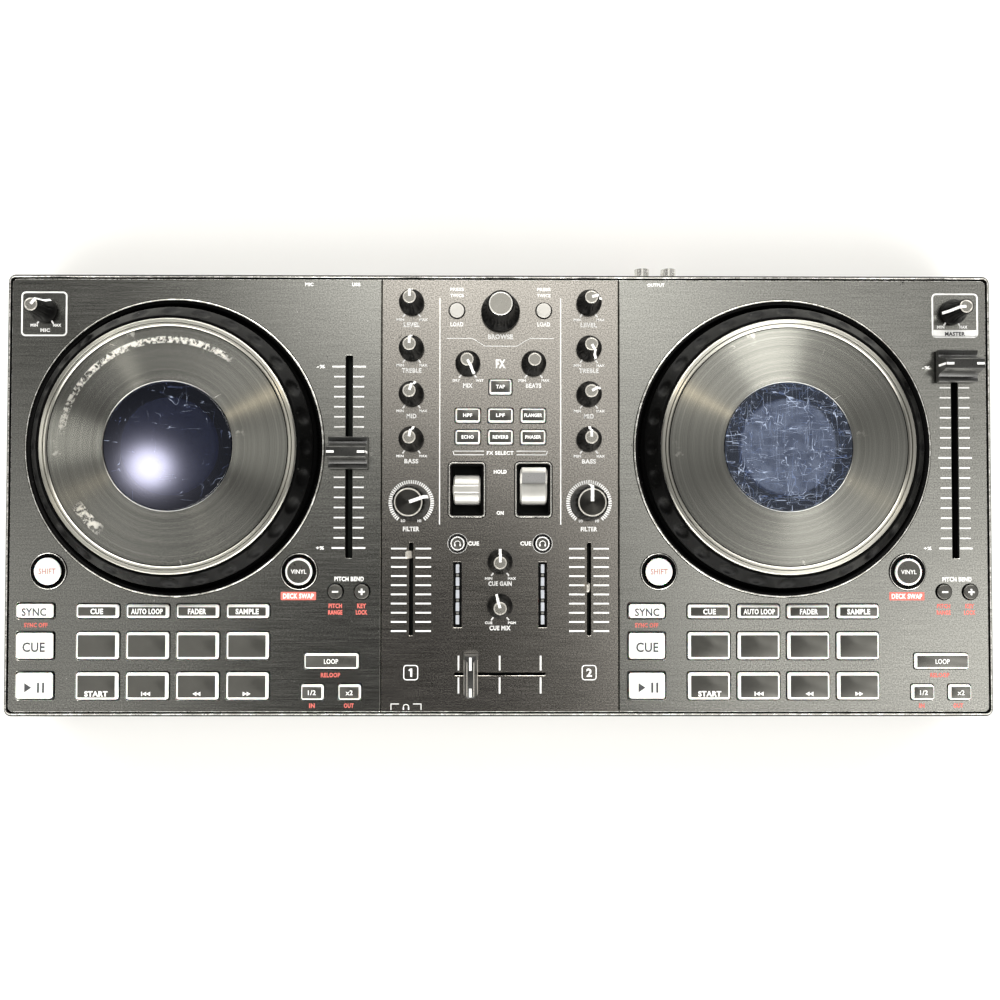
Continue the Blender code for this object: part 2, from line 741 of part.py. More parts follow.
def step_outline(lower, upper):
    """An L about a lower box and a narrower one above it, flush on the right."""
    x, y, width, depth = around([lower], WEB_MARGIN)
    left, bottom, shoulder = x - width / 2, y - depth / 2, y + depth / 2
    x, y, width, depth = around([upper], WEB_MARGIN)
    neck, right, top = x - width / 2, x + width / 2, y + depth / 2
    return [
        (left, bottom), (right, bottom), (right, top),
        (neck, top), (neck, shoulder), (left, shoulder),
    ]


def make_key_group(name, cells, paint, discs=(), disc_radius=0.0, holes=(), outline=None):
    """Keys on one moulded web under the panel.

    cells are square keys, discs are round ones, and holes are shafts that pass the web.
    """
    disc_cells = [(x, y, 2 * disc_radius, 2 * disc_radius) for x, y in discs]
    bm = bmesh.new()
    if outline is None:
        outline = rectangle(*around(list(cells) + disc_cells, WEB_MARGIN))
    block(bm, outline, WEB_BOTTOM, WEB_TOP)
    web = add(name, bm, paint)
    bm = bmesh.new()
    for cell in cells:
        key_stack(bm, cell, KEY_RISE)
    middle = (WEB_BOTTOM + WEB_TOP) / 2
    for disc_x, disc_y in discs:
        base = circle(disc_x, disc_y, disc_radius, BUTTON_SIDES)
        top = circle(disc_x, disc_y, disc_radius - 0.5, BUTTON_SIDES)
        stack(bm, ((base, middle), (base, PANEL_TOP + 1.0), (top, PANEL_TOP + 1.6)))
    combine(web, add_tool(f"{name}_caps_tool", bm), "UNION")
    if holes:
        bm = bmesh.new()
        for hole_x, hole_y in holes:
            block(bm, round_hole(hole_x, hole_y, SHAFT_HOLE), WEB_BOTTOM - 1, WEB_TOP + 1)
        combine(web, add_tool(f"{name}_shaft_tool", bm), "DIFFERENCE")


def make_round_button(name, x, y, paint):
    """A round button with a flange that the deck holds down."""
    bm = bmesh.new()
    top = 1.8
    turn(bm, (
        (0.0, WEB_BOTTOM - PANEL_TOP),
        (ROUND_BUTTON + 2.2, WEB_BOTTOM - PANEL_TOP),
        (ROUND_BUTTON + 2.2, WEB_TOP - PANEL_TOP),
        (ROUND_BUTTON, WEB_TOP - PANEL_TOP),
        (ROUND_BUTTON, top - 0.6),
        (ROUND_BUTTON - 0.7, top),
        (0.0, top),
    ), BUTTON_SIDES)
    add(name, bm, paint, (x, y, PANEL_TOP))


def make_deck_keys(side, paint):
    shift = deck_offset(side)
    make_key_group(f"{side}_pad_keys", pad_cells(shift), paint)
    make_key_group(f"{side}_transport_keys", transport_cells(shift), paint)
    bends = [(x + shift, y) for x, y in BEND_KEYS]
    outline = step_outline(around(loop_cells(shift), 0.0), around(bend_cells(shift), 0.0))
    make_key_group(
        f"{side}_loop_keys", loop_cells(shift), paint, bends, SMALL_BUTTON, outline=outline
    )
    for name, (x, y) in (("shift", SHIFT_BUTTON), ("scratch", SCRATCH_BUTTON)):
        make_round_button(f"{side}_{name}_button", x + shift, y, paint)


def make_mixer_keys(paint):
    make_key_group("fx_keys", fx_cells(), paint)
    make_key_group("tap_key", [TAP_KEY], paint)
    browse_x, browse_y, _ = KNOBS["browse_knob"]
    make_key_group("load_keys", (), paint, LOAD_BUTTONS, SMALL_BUTTON, [(browse_x, browse_y)])
    make_key_group("headphone_cue_keys", (), paint, CUE_BUTTONS, CUE_BUTTON)


def make_paddle(name, x, turned, paint):
    """A sprung lever on a drum. turned is how far it is tipped to the back at rest."""
    steps = 14
    half_blade = 2.8
    tip = 2.3
    start = math.asin(half_blade / PADDLE_DRUM)
    section = []
    for k in range(steps + 1):
        angle = start + (math.tau - 2 * start) * k / steps
        section.append((PADDLE_DRUM * math.sin(angle), PADDLE_DRUM * math.cos(angle)))
    section.append((-tip, PADDLE_REACH))
    section.append((tip, PADDLE_REACH))
    section = [
        (y * math.cos(turned) + z * math.sin(turned), z * math.cos(turned) - y * math.sin(turned))
        for y, z in section
    ]
    bm = bmesh.new()
    extrude_along_x(bm, section, -PADDLE_WIDTH / 2, PADDLE_WIDTH / 2)
    add(name, bm, paint, (x, PADDLE_Y, PADDLE_Z))


# ---------------------------------------------------------------- faders

def make_pitch_cap(side, offset, paint):
    """A wide cap with a grip ridge at each end and a tall one across its middle."""
    width, depth = PITCH_CAP
    end = depth / 2
    section = [
        (-end, 1.2), (end, 1.2), (end, 4.0), (end - 1.2, 4.8), (end - 2.8, 4.2),
        (end - 4.6, 6.5), (2.9, 11.4), (2.3, 12.1),
        (-2.3, 12.1), (-2.9, 11.4), (-end + 4.6, 6.5),
        (-end + 2.8, 4.2), (-end + 1.2, 4.8), (-end, 4.0),
    ]
    bm = bmesh.new()
    extrude_along_x(bm, section, -width / 2, width / 2)
    spot = (PITCH_X + deck_offset(side), PITCH_Y + offset, PANEL_TOP)
    cap = add(f"{side}_pitch_fader", bm, paint, spot)
    bm = bmesh.new()
    stem = rectangle(0.0, 0.0, 1.6, 8.0)
    block(bm, stem, POT_TOP + GAP - PANEL_TOP, 3.0)
    combine(cap, add_tool(f"{side}_pitch_stem_tool", bm, spot), "UNION")


def make_channel_lever(side, sign, y, paint):
    """The bare steel lever of a channel fader, bent a little to the left."""
    foot = POT_TOP + GAP - PANEL_TOP
    thick, wide = LEVER_SIZE
    bm = bmesh.new()
    stack(bm, (
        (rectangle(0.0, 0.0, thick, wide), foot),
        (rectangle(0.0, 0.0, thick, wide), 0.0),
        (rectangle(-LEVER_LEAN, 0.0, thick, wide), LEVER_RISE),
    ))
    add(f"{side}_channel_fader", bm, paint, (sign * STRIP_X, y, PANEL_TOP))


def make_crossfader(paint):
    """A narrow cap, long across the slot, with flared ends."""
    width, depth = CROSS_CAP
    bm = bmesh.new()
    stack(bm, (
        (rectangle(0.0, 0.0, width + 1.6, depth), 1.2),
        (rectangle(0.0, 0.0, width + 1.2, depth), 3.0),
        (rectangle(0.0, 0.0, width - 2.2, depth - 0.6), 6.5),
        (rectangle(0.0, 0.0, width - 2.2, depth - 0.6), 10.0),
        (rectangle(0.0, 0.0, width - 3.2, depth - 1.4), 10.8),
    ))
    spot = (CROSS_CAP_X, CROSS_Y, PANEL_TOP)
    cap = add("crossfader", bm, paint, spot)
    bm = bmesh.new()
    block(bm, rectangle(0.0, 0.0, 4.0, 1.0), POT_TOP + GAP - PANEL_TOP, 2.5)
    combine(cap, add_tool("cross_stem_tool", bm, spot), "UNION")


# ---------------------------------------------------------------- build

def main():
    for leftover in list(bpy.data.objects):
        bpy.data.objects.remove(leftover)
    centre = bpy.data.objects.new("case_centre", None)
    centre.location = (0.0, -JACK_STICKOUT / 2 * MM, 0.0)
    bpy.context.scene.collection.objects.link(centre)
    paints = make_finishes()

    make_bottom_case(paints["case"])
    make_top_case(paints["case"])
    make_panels(paints)
    make_feet(paints["rubber"])
    make_circuit_board(paints["board"])
    make_sockets(paints["socket"])
    make_usb_socket(paints["steel"])
    for side in ("left", "right"):
        make_jog(side, paints)
        make_deck_keys(side, paints["key"])
    make_knobs(paints["knob"])
    make_mixer_keys(paints["key"])
    make_paddle("left_fx_paddle", -PADDLE_X, 0.0, paints["steel"])
    make_paddle("right_fx_paddle", PADDLE_X, PADDLE_THROW, paints["steel"])
    make_pitch_cap("left", LEFT_PITCH_OFFSET, paints["cap"])
    make_pitch_cap("right", RIGHT_PITCH_OFFSET, paints["cap"])
    make_channel_lever("left", -1, LEFT_LEVER_Y, paints["steel"])
    make_channel_lever("right", 1, RIGHT_LEVER_Y, paints["steel"])
    make_crossfader(paints["cap"])


main()
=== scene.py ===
import math

import bmesh
import bpy
from mathutils import Matrix, Vector


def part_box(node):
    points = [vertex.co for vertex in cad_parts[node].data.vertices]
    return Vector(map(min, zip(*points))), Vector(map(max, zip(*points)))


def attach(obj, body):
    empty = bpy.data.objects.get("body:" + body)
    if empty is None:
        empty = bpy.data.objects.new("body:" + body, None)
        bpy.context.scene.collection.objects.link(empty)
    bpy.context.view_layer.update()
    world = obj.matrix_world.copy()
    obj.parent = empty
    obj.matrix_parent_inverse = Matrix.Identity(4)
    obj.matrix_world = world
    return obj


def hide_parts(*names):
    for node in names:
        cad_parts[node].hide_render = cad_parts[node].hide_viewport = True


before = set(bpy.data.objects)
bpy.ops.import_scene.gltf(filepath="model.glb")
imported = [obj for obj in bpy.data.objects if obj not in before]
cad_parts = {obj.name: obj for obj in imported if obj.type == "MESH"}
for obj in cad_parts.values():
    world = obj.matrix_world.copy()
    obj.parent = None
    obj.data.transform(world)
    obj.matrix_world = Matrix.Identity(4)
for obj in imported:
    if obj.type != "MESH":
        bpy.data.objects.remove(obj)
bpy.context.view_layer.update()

# The script works in millimetres from the middle of the top panel: X to the right, Y to the back
# and Z up from the panel's face. Each mesh is scaled to metres as it is made.
MM = 0.001
scene = bpy.context.scene
plate_low, plate_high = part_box("mixer_faceplate")
PANEL = Vector((*((plate_low + plate_high) / 2).xy, plate_high.z)) / MM


def middle(node):
    """The middle of a CAD node, in panel millimetres."""
    low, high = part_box(node)
    return (low + high) / 2 / MM - PANEL


def size(node):
    low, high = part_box(node)
    return (high - low) / MM


def level(node, end=0):
    """The height of a CAD node's foot, or of its top with end 1."""
    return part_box(node)[end].z / MM - PANEL.z


CASE = size("bottom_case")
CASE_CORNER = 4.0
WALL = 2.5
RIM_CHAMFER = 0.85
RIM_WIDTH = 1.4
DECK_TOP = -1.9
DECK_UNDER = -4.0
WALL_FOOT = level("top_case")
PLATE_UNDER = -1.6
PLATE_BEVEL = 0.15
SOCKET_Z = middle("mic_jack").z
SIDES = (("left", -1), ("right", 1))

JOG_X, JOG_Y, _ = middle("right_jog_platter")
COLLAR_OUTER = 80.7
COLLAR_INNER = 77.0
DIMPLES = 28

# The right deck's layout; the left deck is the same, moved along X. Cells are x, y, width, depth
PITCH_CELL = (247.2, 20.7, 3.8, 110.0)
PITCH_TICKS = 19
PITCH_TOP = 69.5
PITCH_STEP = 5.46
PAD_X = 112.75
PAD_PITCH = 26.85
PAD_COLUMNS = 4
PAD_ROWS = ((-62.85, 8.5), (-81.4, 15.6), (-103.0, 15.6))
PAD_WIDTH = 23.9
TRANSPORT_X = 79.2
TRANSPORT_WIDTH = 21.2
TRANSPORT_ROWS = ((-62.7, 9.2), (-81.4, 15.6), (-102.8, 15.6))
LOOP_KEYS = ((238.4, -89.6, 30.0, 9.0), (228.2, -106.3, 13.0, 9.0), (248.2, -106.3, 13.0, 9.0))
BEND_KEYS = ((240.3, -52.3), (254.6, -52.3))
ROUND_BUTTONS = {"shift": (85.8, -41.4), "scratch": (220.7, -41.5)}
SMALL_HOLE = 4.5
ROUND_HOLE = 8.1
SHAFT_HOLE = 4.0

# Mixer
STRIP_X = 48.1
FX_COLUMNS = (-17.6, 0.1, 17.8)
FX_ROWS = (43.0, 31.2)
FX_HOLE = (14.3, 8.5)
TAP_KEY = (0.1, 58.5, 13.0, 8.9)
LOAD_BUTTONS = ((-23.6, 100.1), (23.6, 100.1))
CUE_BUTTONS = ((-23.0, -26.3), (22.9, -26.3))
CUE_HOLE = 4.9
PADDLE_SPOT = (18.0, 2.75)
PADDLE_OPENING = (16.3, 26.3)
METER_X = 23.0
METER_Y = -53.95
METER_SIZE = (4.7, 35.5)
CHANNEL_Y = -50.9
CHANNEL_SLOT = (2.2, 50.4)
CROSS_Y = -96.6
CROSS_SLOT = (49.3, 1.8)
WEB_TOP = -4.4
WEB_UNDER = -5.8
KEY_TOP = 2.0
RCA_X = (79.3, 94.1)
MIC_X = middle("mic_jack").x
USB_X = middle("usb_socket").x
USB_MOUTH = (9.0, 8.2)
PHONES_X = -55.0
EARPHONES_X = -45.5
JACK_STICKOUT = 7.0
# Print stands this little proud of what it is on
PRINT_LOW, PRINT_HIGH = 0.004, 0.045
INK = 0.03

KNOBS = [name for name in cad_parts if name.endswith("_knob")]


def deck_shift(side):
    """How far a deck is moved from the right deck."""
    return middle(f"{side}_jog_platter").x - JOG_X


# ------------------------------------------------------------------ outlines and solids

def disc(x, y, radius, sides=48):
    """A round outline. grow widens it."""
    def outline(grow=0.0):
        reach = radius + grow
        turns = [math.tau * k / sides for k in range(sides)]
        return [(x + reach * math.cos(turn), y + reach * math.sin(turn)) for turn in turns]
    return outline


def slab(x, y, width, depth, corner=0.6, steps=5):
    """A rectangular outline with round corners. grow widens it."""
    def outline(grow=0.0):
        half_w, half_d = width / 2 + grow, depth / 2 + grow
        radius = min(max(corner + grow, 0.05), half_w, half_d)
        points = []
        for quarter, (in_x, in_y) in enumerate(((1, 1), (-1, 1), (-1, -1), (1, -1))):
            for step in range(steps + 1):
                angle = math.pi + math.pi / 2 * (quarter + step / steps)
                points.append((x - in_x * (half_w - radius) + radius * math.cos(angle),
                               y - in_y * (half_d - radius) + radius * math.sin(angle)))
        return points
    return outline


def at_height(outline, grow, z):
    return [(x, y, z) for x, y in outline(grow)]


def skin(bm, rows, paint=0):
    """Joins neighbouring rows of as many points with faces."""
    made = []
    for lower, upper in zip(rows, rows[1:]):
        for k in range(len(lower)):
            after = (k + 1) % len(lower)
            made.append(bm.faces.new((lower[k], lower[after], upper[after], upper[k])))
            made[-1].material_index = paint
    return made


def loft(bm, rings, paint=0):
    """A solid over rings of equal point counts, flat at both ends."""
    rows = [[bm.verts.new(point) for point in ring] for ring in rings]
    made = skin(bm, rows, paint)
    for row in (rows[0][::-1], rows[-1]):
        made.append(bm.faces.new(row))
        made[-1].material_index = paint
    return made


def hoop(bm, rings, paint=0):
    """A closed hoop whose section runs through the rings."""
    rows = [[bm.verts.new(point) for point in ring] for ring in rings]
    skin(bm, rows + rows[:1], paint)


def rise(bm, outline, levels, paint=0):
    """A solid over an outline, with levels of (grow, z) from the foot up."""
    loft(bm, [at_height(outline, grow, z) for grow, z in levels], paint)


def tile(bm, points, low, high, paint=0):
    """A thin prism on a convex list of points."""
    loft(bm, [[(x, y, z) for x, y in points] for z in (low, high)], paint)


def bar(bm, x, y, width, depth, low=PRINT_LOW, high=PRINT_HIGH, paint=0, turned=0.0):
    """A flat strip about (x, y)."""
    cos, sin = math.cos(turned), math.sin(turned)
    points = []
    for sign_x, sign_y in ((-1, -1), (1, -1), (1, 1), (-1, 1)):
        along, across = sign_x * width / 2, sign_y * depth / 2
        points.append((x + along * cos - across * sin, y + along * sin + across * cos))
    tile(bm, points, low, high, paint)


def plate(bm, outer, holes, levels, hole_levels, paints=(0, 0, 0)):
    """A sheet with holes. levels are (inset, z) from the edge of the top face to the underside's.

    paints are those of the top face, the sides and the underside.
    """
    rims = ([], [])
    shapes = [(outer, -1, levels)] + [(hole, 1, hole_levels) for hole in holes]
    for outline, sign, steps in shapes:
        rows = [[bm.verts.new(spot) for spot in at_height(outline, sign * inset, z)] for inset, z in steps]
        skin(bm, rows, paints[1])
        for rim, row in zip(rims, (rows[0], rows[-1])):
            rim += [bm.edges.get(pair) for pair in zip(row, row[1:] + row[:1])]
    for rim, paint in zip(rims, (paints[0], paints[2])):
        for face in bmesh.ops.triangle_fill(bm, edges=rim, use_beauty=True)["geom"]:
            if isinstance(face, bmesh.types.BMFace):
                face.material_index = paint


def turn(bm, profile, sides=64, spot=(0.0, 0.0), paints=None, closed=False, dent=None):
    """A solid of revolution on (radius, z) points. paints gives each band's finish.

    dent moves a point: it takes the angle, radius and z, and returns a new radius and z.
    """
    rows = []
    for radius, z in profile:
        row = []
        for k in range(sides if radius else 1):
            angle = math.tau * k / sides
            r, height = dent(angle, radius, z) if dent and radius else (radius, z)
            place = (spot[0] + r * math.cos(angle), spot[1] + r * math.sin(angle), height)
            row.append(bm.verts.new(place))
        rows.append(row)
    for index, (one, other) in enumerate(zip(rows, rows[1:] + rows[:1] if closed else rows[1:])):
        for k in range(sides):
            after = (k + 1) % sides
            corners = [one[k % len(one)], one[after % len(one)],
                       other[after % len(other)], other[k % len(other)]]
            face = bm.faces.new(list(dict.fromkeys(corners)))
            face.material_index = paints[index] if paints else 0


def ribbon(bm, path, width, thickness, paint=0):
    """A strip that follows a path of (y, z) points, with its width along X."""
    rings = []
    half = width / 2
    for index, (y, z) in enumerate(path):
        before = path[max(index - 1, 0)]
        after = path[min(index + 1, len(path) - 1)]
        run, climb = after[0] - before[0], after[1] - before[1]
        length = math.hypot(run, climb)
        back, top = y - climb / length * thickness, z + run / length * thickness
        rings.append([(-half, y, z), (half, y, z), (half, back, top), (-half, back, top)])
    loft(bm, rings, paint)


def rod(bm, x, z, start, end, radius, sides=32, bore=0.0, paint=0):
    """A rod along Y, or a tube if it has a bore."""
    turns = [math.tau * (k / sides - 1 / 8) for k in range(sides)]
    section = ((start, radius), (end, radius))
    if bore:
        section = ((start, bore), *section, (end, bore))
    rings = [[(x + reach * math.cos(t), y, z + reach * math.sin(t)) for t in turns] for y, reach in section]
    (hoop if bore else loft)(bm, rings, paint)


# ------------------------------------------------------------------ lettering

WORDS = {}
BOLD, THIN = 0.042, 0.016


def word_mesh(text, weight):
    """A word's flat faces, scaled into a box from (-0.5, -0.5) to (0.5, 0.5)."""
    if (text, weight) in WORDS:
        return WORDS[text, weight]
    curve = bpy.data.curves.new("word", "FONT")
    curve.body = text
    curve.resolution_u = 3
    curve.offset = weight
    curve.space_character = 1.0 + 2.6 * weight
    holder = bpy.data.objects.new("word", curve)
    scene.collection.objects.link(holder)
    bpy.context.view_layer.update()
    mesh = bpy.data.meshes.new_from_object(holder.evaluated_get(bpy.context.evaluated_depsgraph_get()))
    bm = bmesh.new()
    bm.from_mesh(mesh)
    bmesh.ops.remove_doubles(bm, verts=bm.verts, dist=0.0005)
    bm.verts.index_update()
    xs = [vert.co.x for vert in bm.verts]
    ys = [vert.co.y for vert in bm.verts]
    wide, high = max(xs) - min(xs), max(ys) - min(ys)
    points = [((x - min(xs)) / wide - 0.5, (y - min(ys)) / high - 0.5) for x, y in zip(xs, ys)]
    faces = [[vert.index for vert in face.verts] for face in bm.faces]
    bm.free()
    bpy.data.objects.remove(holder)
    bpy.data.curves.remove(curve)
    bpy.data.meshes.remove(mesh)
    WORDS[text, weight] = (points, faces)
    return WORDS[text, weight]


def write(bm, text, x, y, width, height, low=PRINT_LOW, high=PRINT_HIGH, paint=0, weight=BOLD):
    """A word as a thin raised print, centred on (x, y)."""
    points, faces = word_mesh(text, weight)
    floor, roof = ([bm.verts.new((x + px * width, y + py * height, z)) for px, py in points]
                   for z in (low, high))
    directed = {(a, b) for face in faces for a, b in zip(face, face[1:] + face[:1])}
    made = [bm.faces.new([roof[k] for k in face]) for face in faces]
    made += [bm.faces.new([floor[k] for k in reversed(face)]) for face in faces]
    for a, b in sorted(directed):
        if (b, a) not in directed:
            made.append(bm.faces.new((floor[a], floor[b], roof[b], roof[a])))
    for face in made:
        face.material_index = paint


def write_rows(bm, rows, shift=0.0):
    """Prints rows of (text, x, y, width, height)."""
    for text, x, *rest in rows:
        write(bm, text, x + shift, *rest)


# ------------------------------------------------------------------ shader building

def add_node(tree, kind, values=None, **settings):
    """A shader node, with its settings and with its inputs set or linked."""
    made = tree.nodes.new("ShaderNode" + kind)
    for key, value in settings.items():
        setattr(made, key, value)
    for key, value in (values or {}).items():
        if isinstance(value, bpy.types.NodeSocket):
            tree.links.new(value, made.inputs[key])
        else:
            made.inputs[key].default_value = value
    return made


def place(tree, scale=(1.0, 1.0, 1.0), turned=0.0):
    """The object's own coordinates, stretched, and turned about Z."""
    values = {"Vector": add_node(tree, "TexCoord").outputs["Object"], "Scale": scale}
    return add_node(tree, "Mapping", {**values, "Rotation": (0.0, 0.0, turned)}).outputs["Vector"]


def noise(tree, where, scale, detail=3.0, rough=0.55, twist=0.0):
    values = {
        "Vector": where, "Scale": scale, "Detail": detail, "Roughness": rough, "Distortion": twist,
    }
    return add_node(tree, "TexNoise", values).outputs["Fac"]


def spread(tree, value, low, high, to_low=0.0, to_high=1.0):
    """Maps low..high smoothly onto to_low..to_high."""
    values = {0: value, 1: low, 2: high, 3: to_low, 4: to_high}
    return add_node(tree, "MapRange", values, interpolation_type="SMOOTHSTEP").outputs[0]


def maths(tree, operation, one, other=0.0):
    return add_node(tree, "Math", {0: one, 1: other}, operation=operation).outputs[0]


def times(tree, one, other):
    return maths(tree, "MULTIPLY", one, other)


def most(tree, one, other):
    return maths(tree, "MAXIMUM", one, other)


def vector(tree, operation, one, other=(0.0, 0.0, 0.0)):
    made = add_node(tree, "VectorMath", {0: one, 1: other}, operation=operation)
    return made.outputs["Value" if operation in ("LENGTH", "DOT_PRODUCT") else 0]


def mix_colour(tree, factor, one, other):
    values = {0: factor, 6: one, 7: other}
    return add_node(tree, "Mix", values, data_type="RGBA").outputs[2]


def bump(tree, height, strength, depth):
    values = {"Height": height, "Strength": strength, "Distance": depth}
    return add_node(tree, "Bump", values).outputs["Normal"]


def hairlines(tree, where, scale, width, amount):
    """Thin curved scratches along the level lines of a noise, kept to some patches."""
    field = noise(tree, where, scale, 1.0, 0.4, 0.8)
    near = maths(tree, "ABSOLUTE", maths(tree, "SUBTRACT", field, 0.5))
    kept = spread(tree, noise(tree, where, scale * 0.6, 3.0), amount, amount + 0.08)
    return times(tree, spread(tree, near, 0.0, width, 1.0, 0.0), kept)


def paint(name, colour, roughness, metallic=0.0, **sockets):
    """A Principled material. Other sockets are named with underscores for spaces."""
    made = bpy.data.materials.new(name)
    made.use_nodes = True
    made.diffuse_color = (*colour, 1.0)
    shader = made.node_tree.nodes["Principled BSDF"]
    sockets.update(Base_Color=(*colour, 1.0), Roughness=roughness, Metallic=metallic)
    for key, value in sockets.items():
        shader.inputs[key.replace("_", " ")].default_value = value
    return made, made.node_tree, shader


def dress(tree, shader, base, roughness, normal=None):
    for key, value in (("Base Color", base), ("Roughness", roughness), ("Normal", normal)):
        if value:
            tree.links.new(value, shader.inputs[key])


def tint(colour, factor):
    return (*[min(value * factor, 1.0) for value in colour], 1.0)


def grey(value):
    return (value, value, value)


# ------------------------------------------------------------------ finishes

def sheet_metal(name, colour, roughness, brushed):
    """Anodised sheet with a sandy sparkle, brushed along X, and a few chips."""
    made, tree, shader = paint(name, colour, roughness, 1.0)
    where = place(tree)
    lines = noise(tree, place(tree, (0.025, 1.0, 1.0)), 1500.0, 4.0, 0.7)
    grain = noise(tree, where, 1350.0, 2.0, 0.6)
    dark, light = tint(colour, 0.64), tint(colour, 1.38)
    base, streaks = (mix_colour(tree, spread(tree, field, 0.3, 0.7), dark, light) for field in (grain, lines))
    base = mix_colour(tree, brushed, base, streaks)
    cloud = spread(tree, noise(tree, where, 14.0, 4.0, 0.6), 0.35, 0.7, 0.0, 0.3)
    base = mix_colour(tree, cloud, base, tint(colour, 0.78))
    chips = spread(tree, noise(tree, where, 230.0, 3.0, 0.6), 0.73, 0.742)
    base = mix_colour(tree, chips, base, (*grey(0.008), 1.0))
    dust = spread(tree, noise(tree, where, 620.0, 1.0, 0.5), 0.785, 0.80)
    base = mix_colour(tree, dust, base, (0.9, 0.89, 0.85, 1.0))
    dress(tree, shader, base, spread(tree, lines, 0.2, 0.8, roughness - 0.03, roughness + 0.05),
          bump(tree, grain, 0.1, 0.00006))
    return made


def worn_metal(name, colour, bright, roughness, wear, metallic=0.75, **sockets):
    """Painted metal with bare, bright chips. wear is the noise level above which it is bare."""
    made, tree, shader = paint(name, colour, roughness, metallic, **sockets)
    where = place(tree)
    bare = spread(tree, noise(tree, where, 260.0, 4.0, 0.65), wear, wear + 0.05)
    grain = noise(tree, where, 1300.0, 2.0)
    base = mix_colour(tree, grain, tint(colour, 0.7), tint(colour, 1.3))
    dress(tree, shader, mix_colour(tree, bare, base, (*bright, 1.0)),
          spread(tree, grain, 0.2, 0.8, roughness - 0.08, roughness + 0.1), bump(tree, grain, 0.2, 0.0001))
    return made


def moulded(name, colour, roughness, dust=0.0, grain_scale=1800.0, depth=0.00008, **sockets):
    """Moulded plastic or rubber with a fine skin and some dust."""
    made, tree, shader = paint(name, colour, roughness, sockets.pop("Metallic", 0.0), **sockets)
    where = place(tree)
    grain = noise(tree, where, grain_scale, 3.0, 0.6)
    base = mix_colour(tree, noise(tree, where, 90.0, 3.0, 0.6), tint(colour, 0.78), tint(colour, 1.22))
    if dust:
        motes = spread(tree, noise(tree, where, 520.0, 2.0, 0.6), 0.7, 0.78, 0.0, dust)
        base = mix_colour(tree, motes, base, (0.55, 0.54, 0.5, 1.0))
    dress(tree, shader, base, spread(tree, grain, 0.2, 0.8, roughness - 0.06, roughness + 0.08),
          bump(tree, grain, 0.25, depth))
    return made


def patch(tree, radius, angle, r0, r1, a0, a1):
    """One inside a part of a ring about Z, none outside it."""
    across, along = (
        times(tree, spread(tree, value, low, low + blur), spread(tree, value, high - blur, high, 1.0, 0.0))
        for value, low, high, blur in ((radius, r0, r1, 0.0006), (angle, a0, a1, 0.12))
    )
    return times(tree, across, along)


def turned_metal(name, colour, roughness, wear, scuffed=False):
    """Metal turned on a lathe: rings about Z, highlights that fan out from the middle."""
    made, tree, shader = paint(name, colour, roughness, 1.0, Anisotropic=1.0, Anisotropic_Rotation=0.25)
    tangent = add_node(tree, "Tangent", direction_type="RADIAL", axis="Z").outputs[0]
    tree.links.new(tangent, shader.inputs["Tangent"])
    flat = place(tree, (1.0, 1.0, 0.0))
    radius = vector(tree, "LENGTH", flat)
    fine, broad = (
        times(tree, add_node(tree, "TexNoise", {"W": radius, "Scale": scale, "Detail": 2.0},
                             noise_dimensions="1D").outputs["Fac"], share)
        for scale, share in ((3200.0, 0.6), (420.0, 0.4))
    )
    rings = maths(tree, "ADD", fine, broad)
    base = mix_colour(tree, spread(tree, rings, 0.3, 0.7), tint(colour, 0.78), tint(colour, 1.18))
    where = place(tree)
    marks = most(tree, hairlines(tree, where, 34.0, 0.006, wear),
                 hairlines(tree, place(tree, (1.0, 0.45, 1.0), 0.9), 70.0, 0.01, wear))
    haze = spread(tree, noise(tree, where, 45.0, 4.0, 0.7), wear, wear + 0.12, 0.0, 0.5)
    marks = most(tree, marks, haze)
    if scuffed:
        split = add_node(tree, "SeparateXYZ", {0: flat}).outputs
        angle = maths(tree, "ARCTAN2", split[1], split[0])
        worn = most(tree, patch(tree, radius, angle, 0.0545, 0.0585, 0.9, 3.05),
                    patch(tree, radius, angle, 0.0535, 0.0600, -2.6, -2.2))
        broken = spread(tree, noise(tree, where, 420.0, 4.0, 0.7), 0.44, 0.58)
        marks = most(tree, marks, times(tree, worn, broken))
    dress(tree, shader, mix_colour(tree, marks, base, (0.86, 0.84, 0.78, 1.0)),
          spread(tree, marks, 0.0, 1.0, roughness, 0.5), bump(tree, rings, 0.08, 0.00005))
    return made


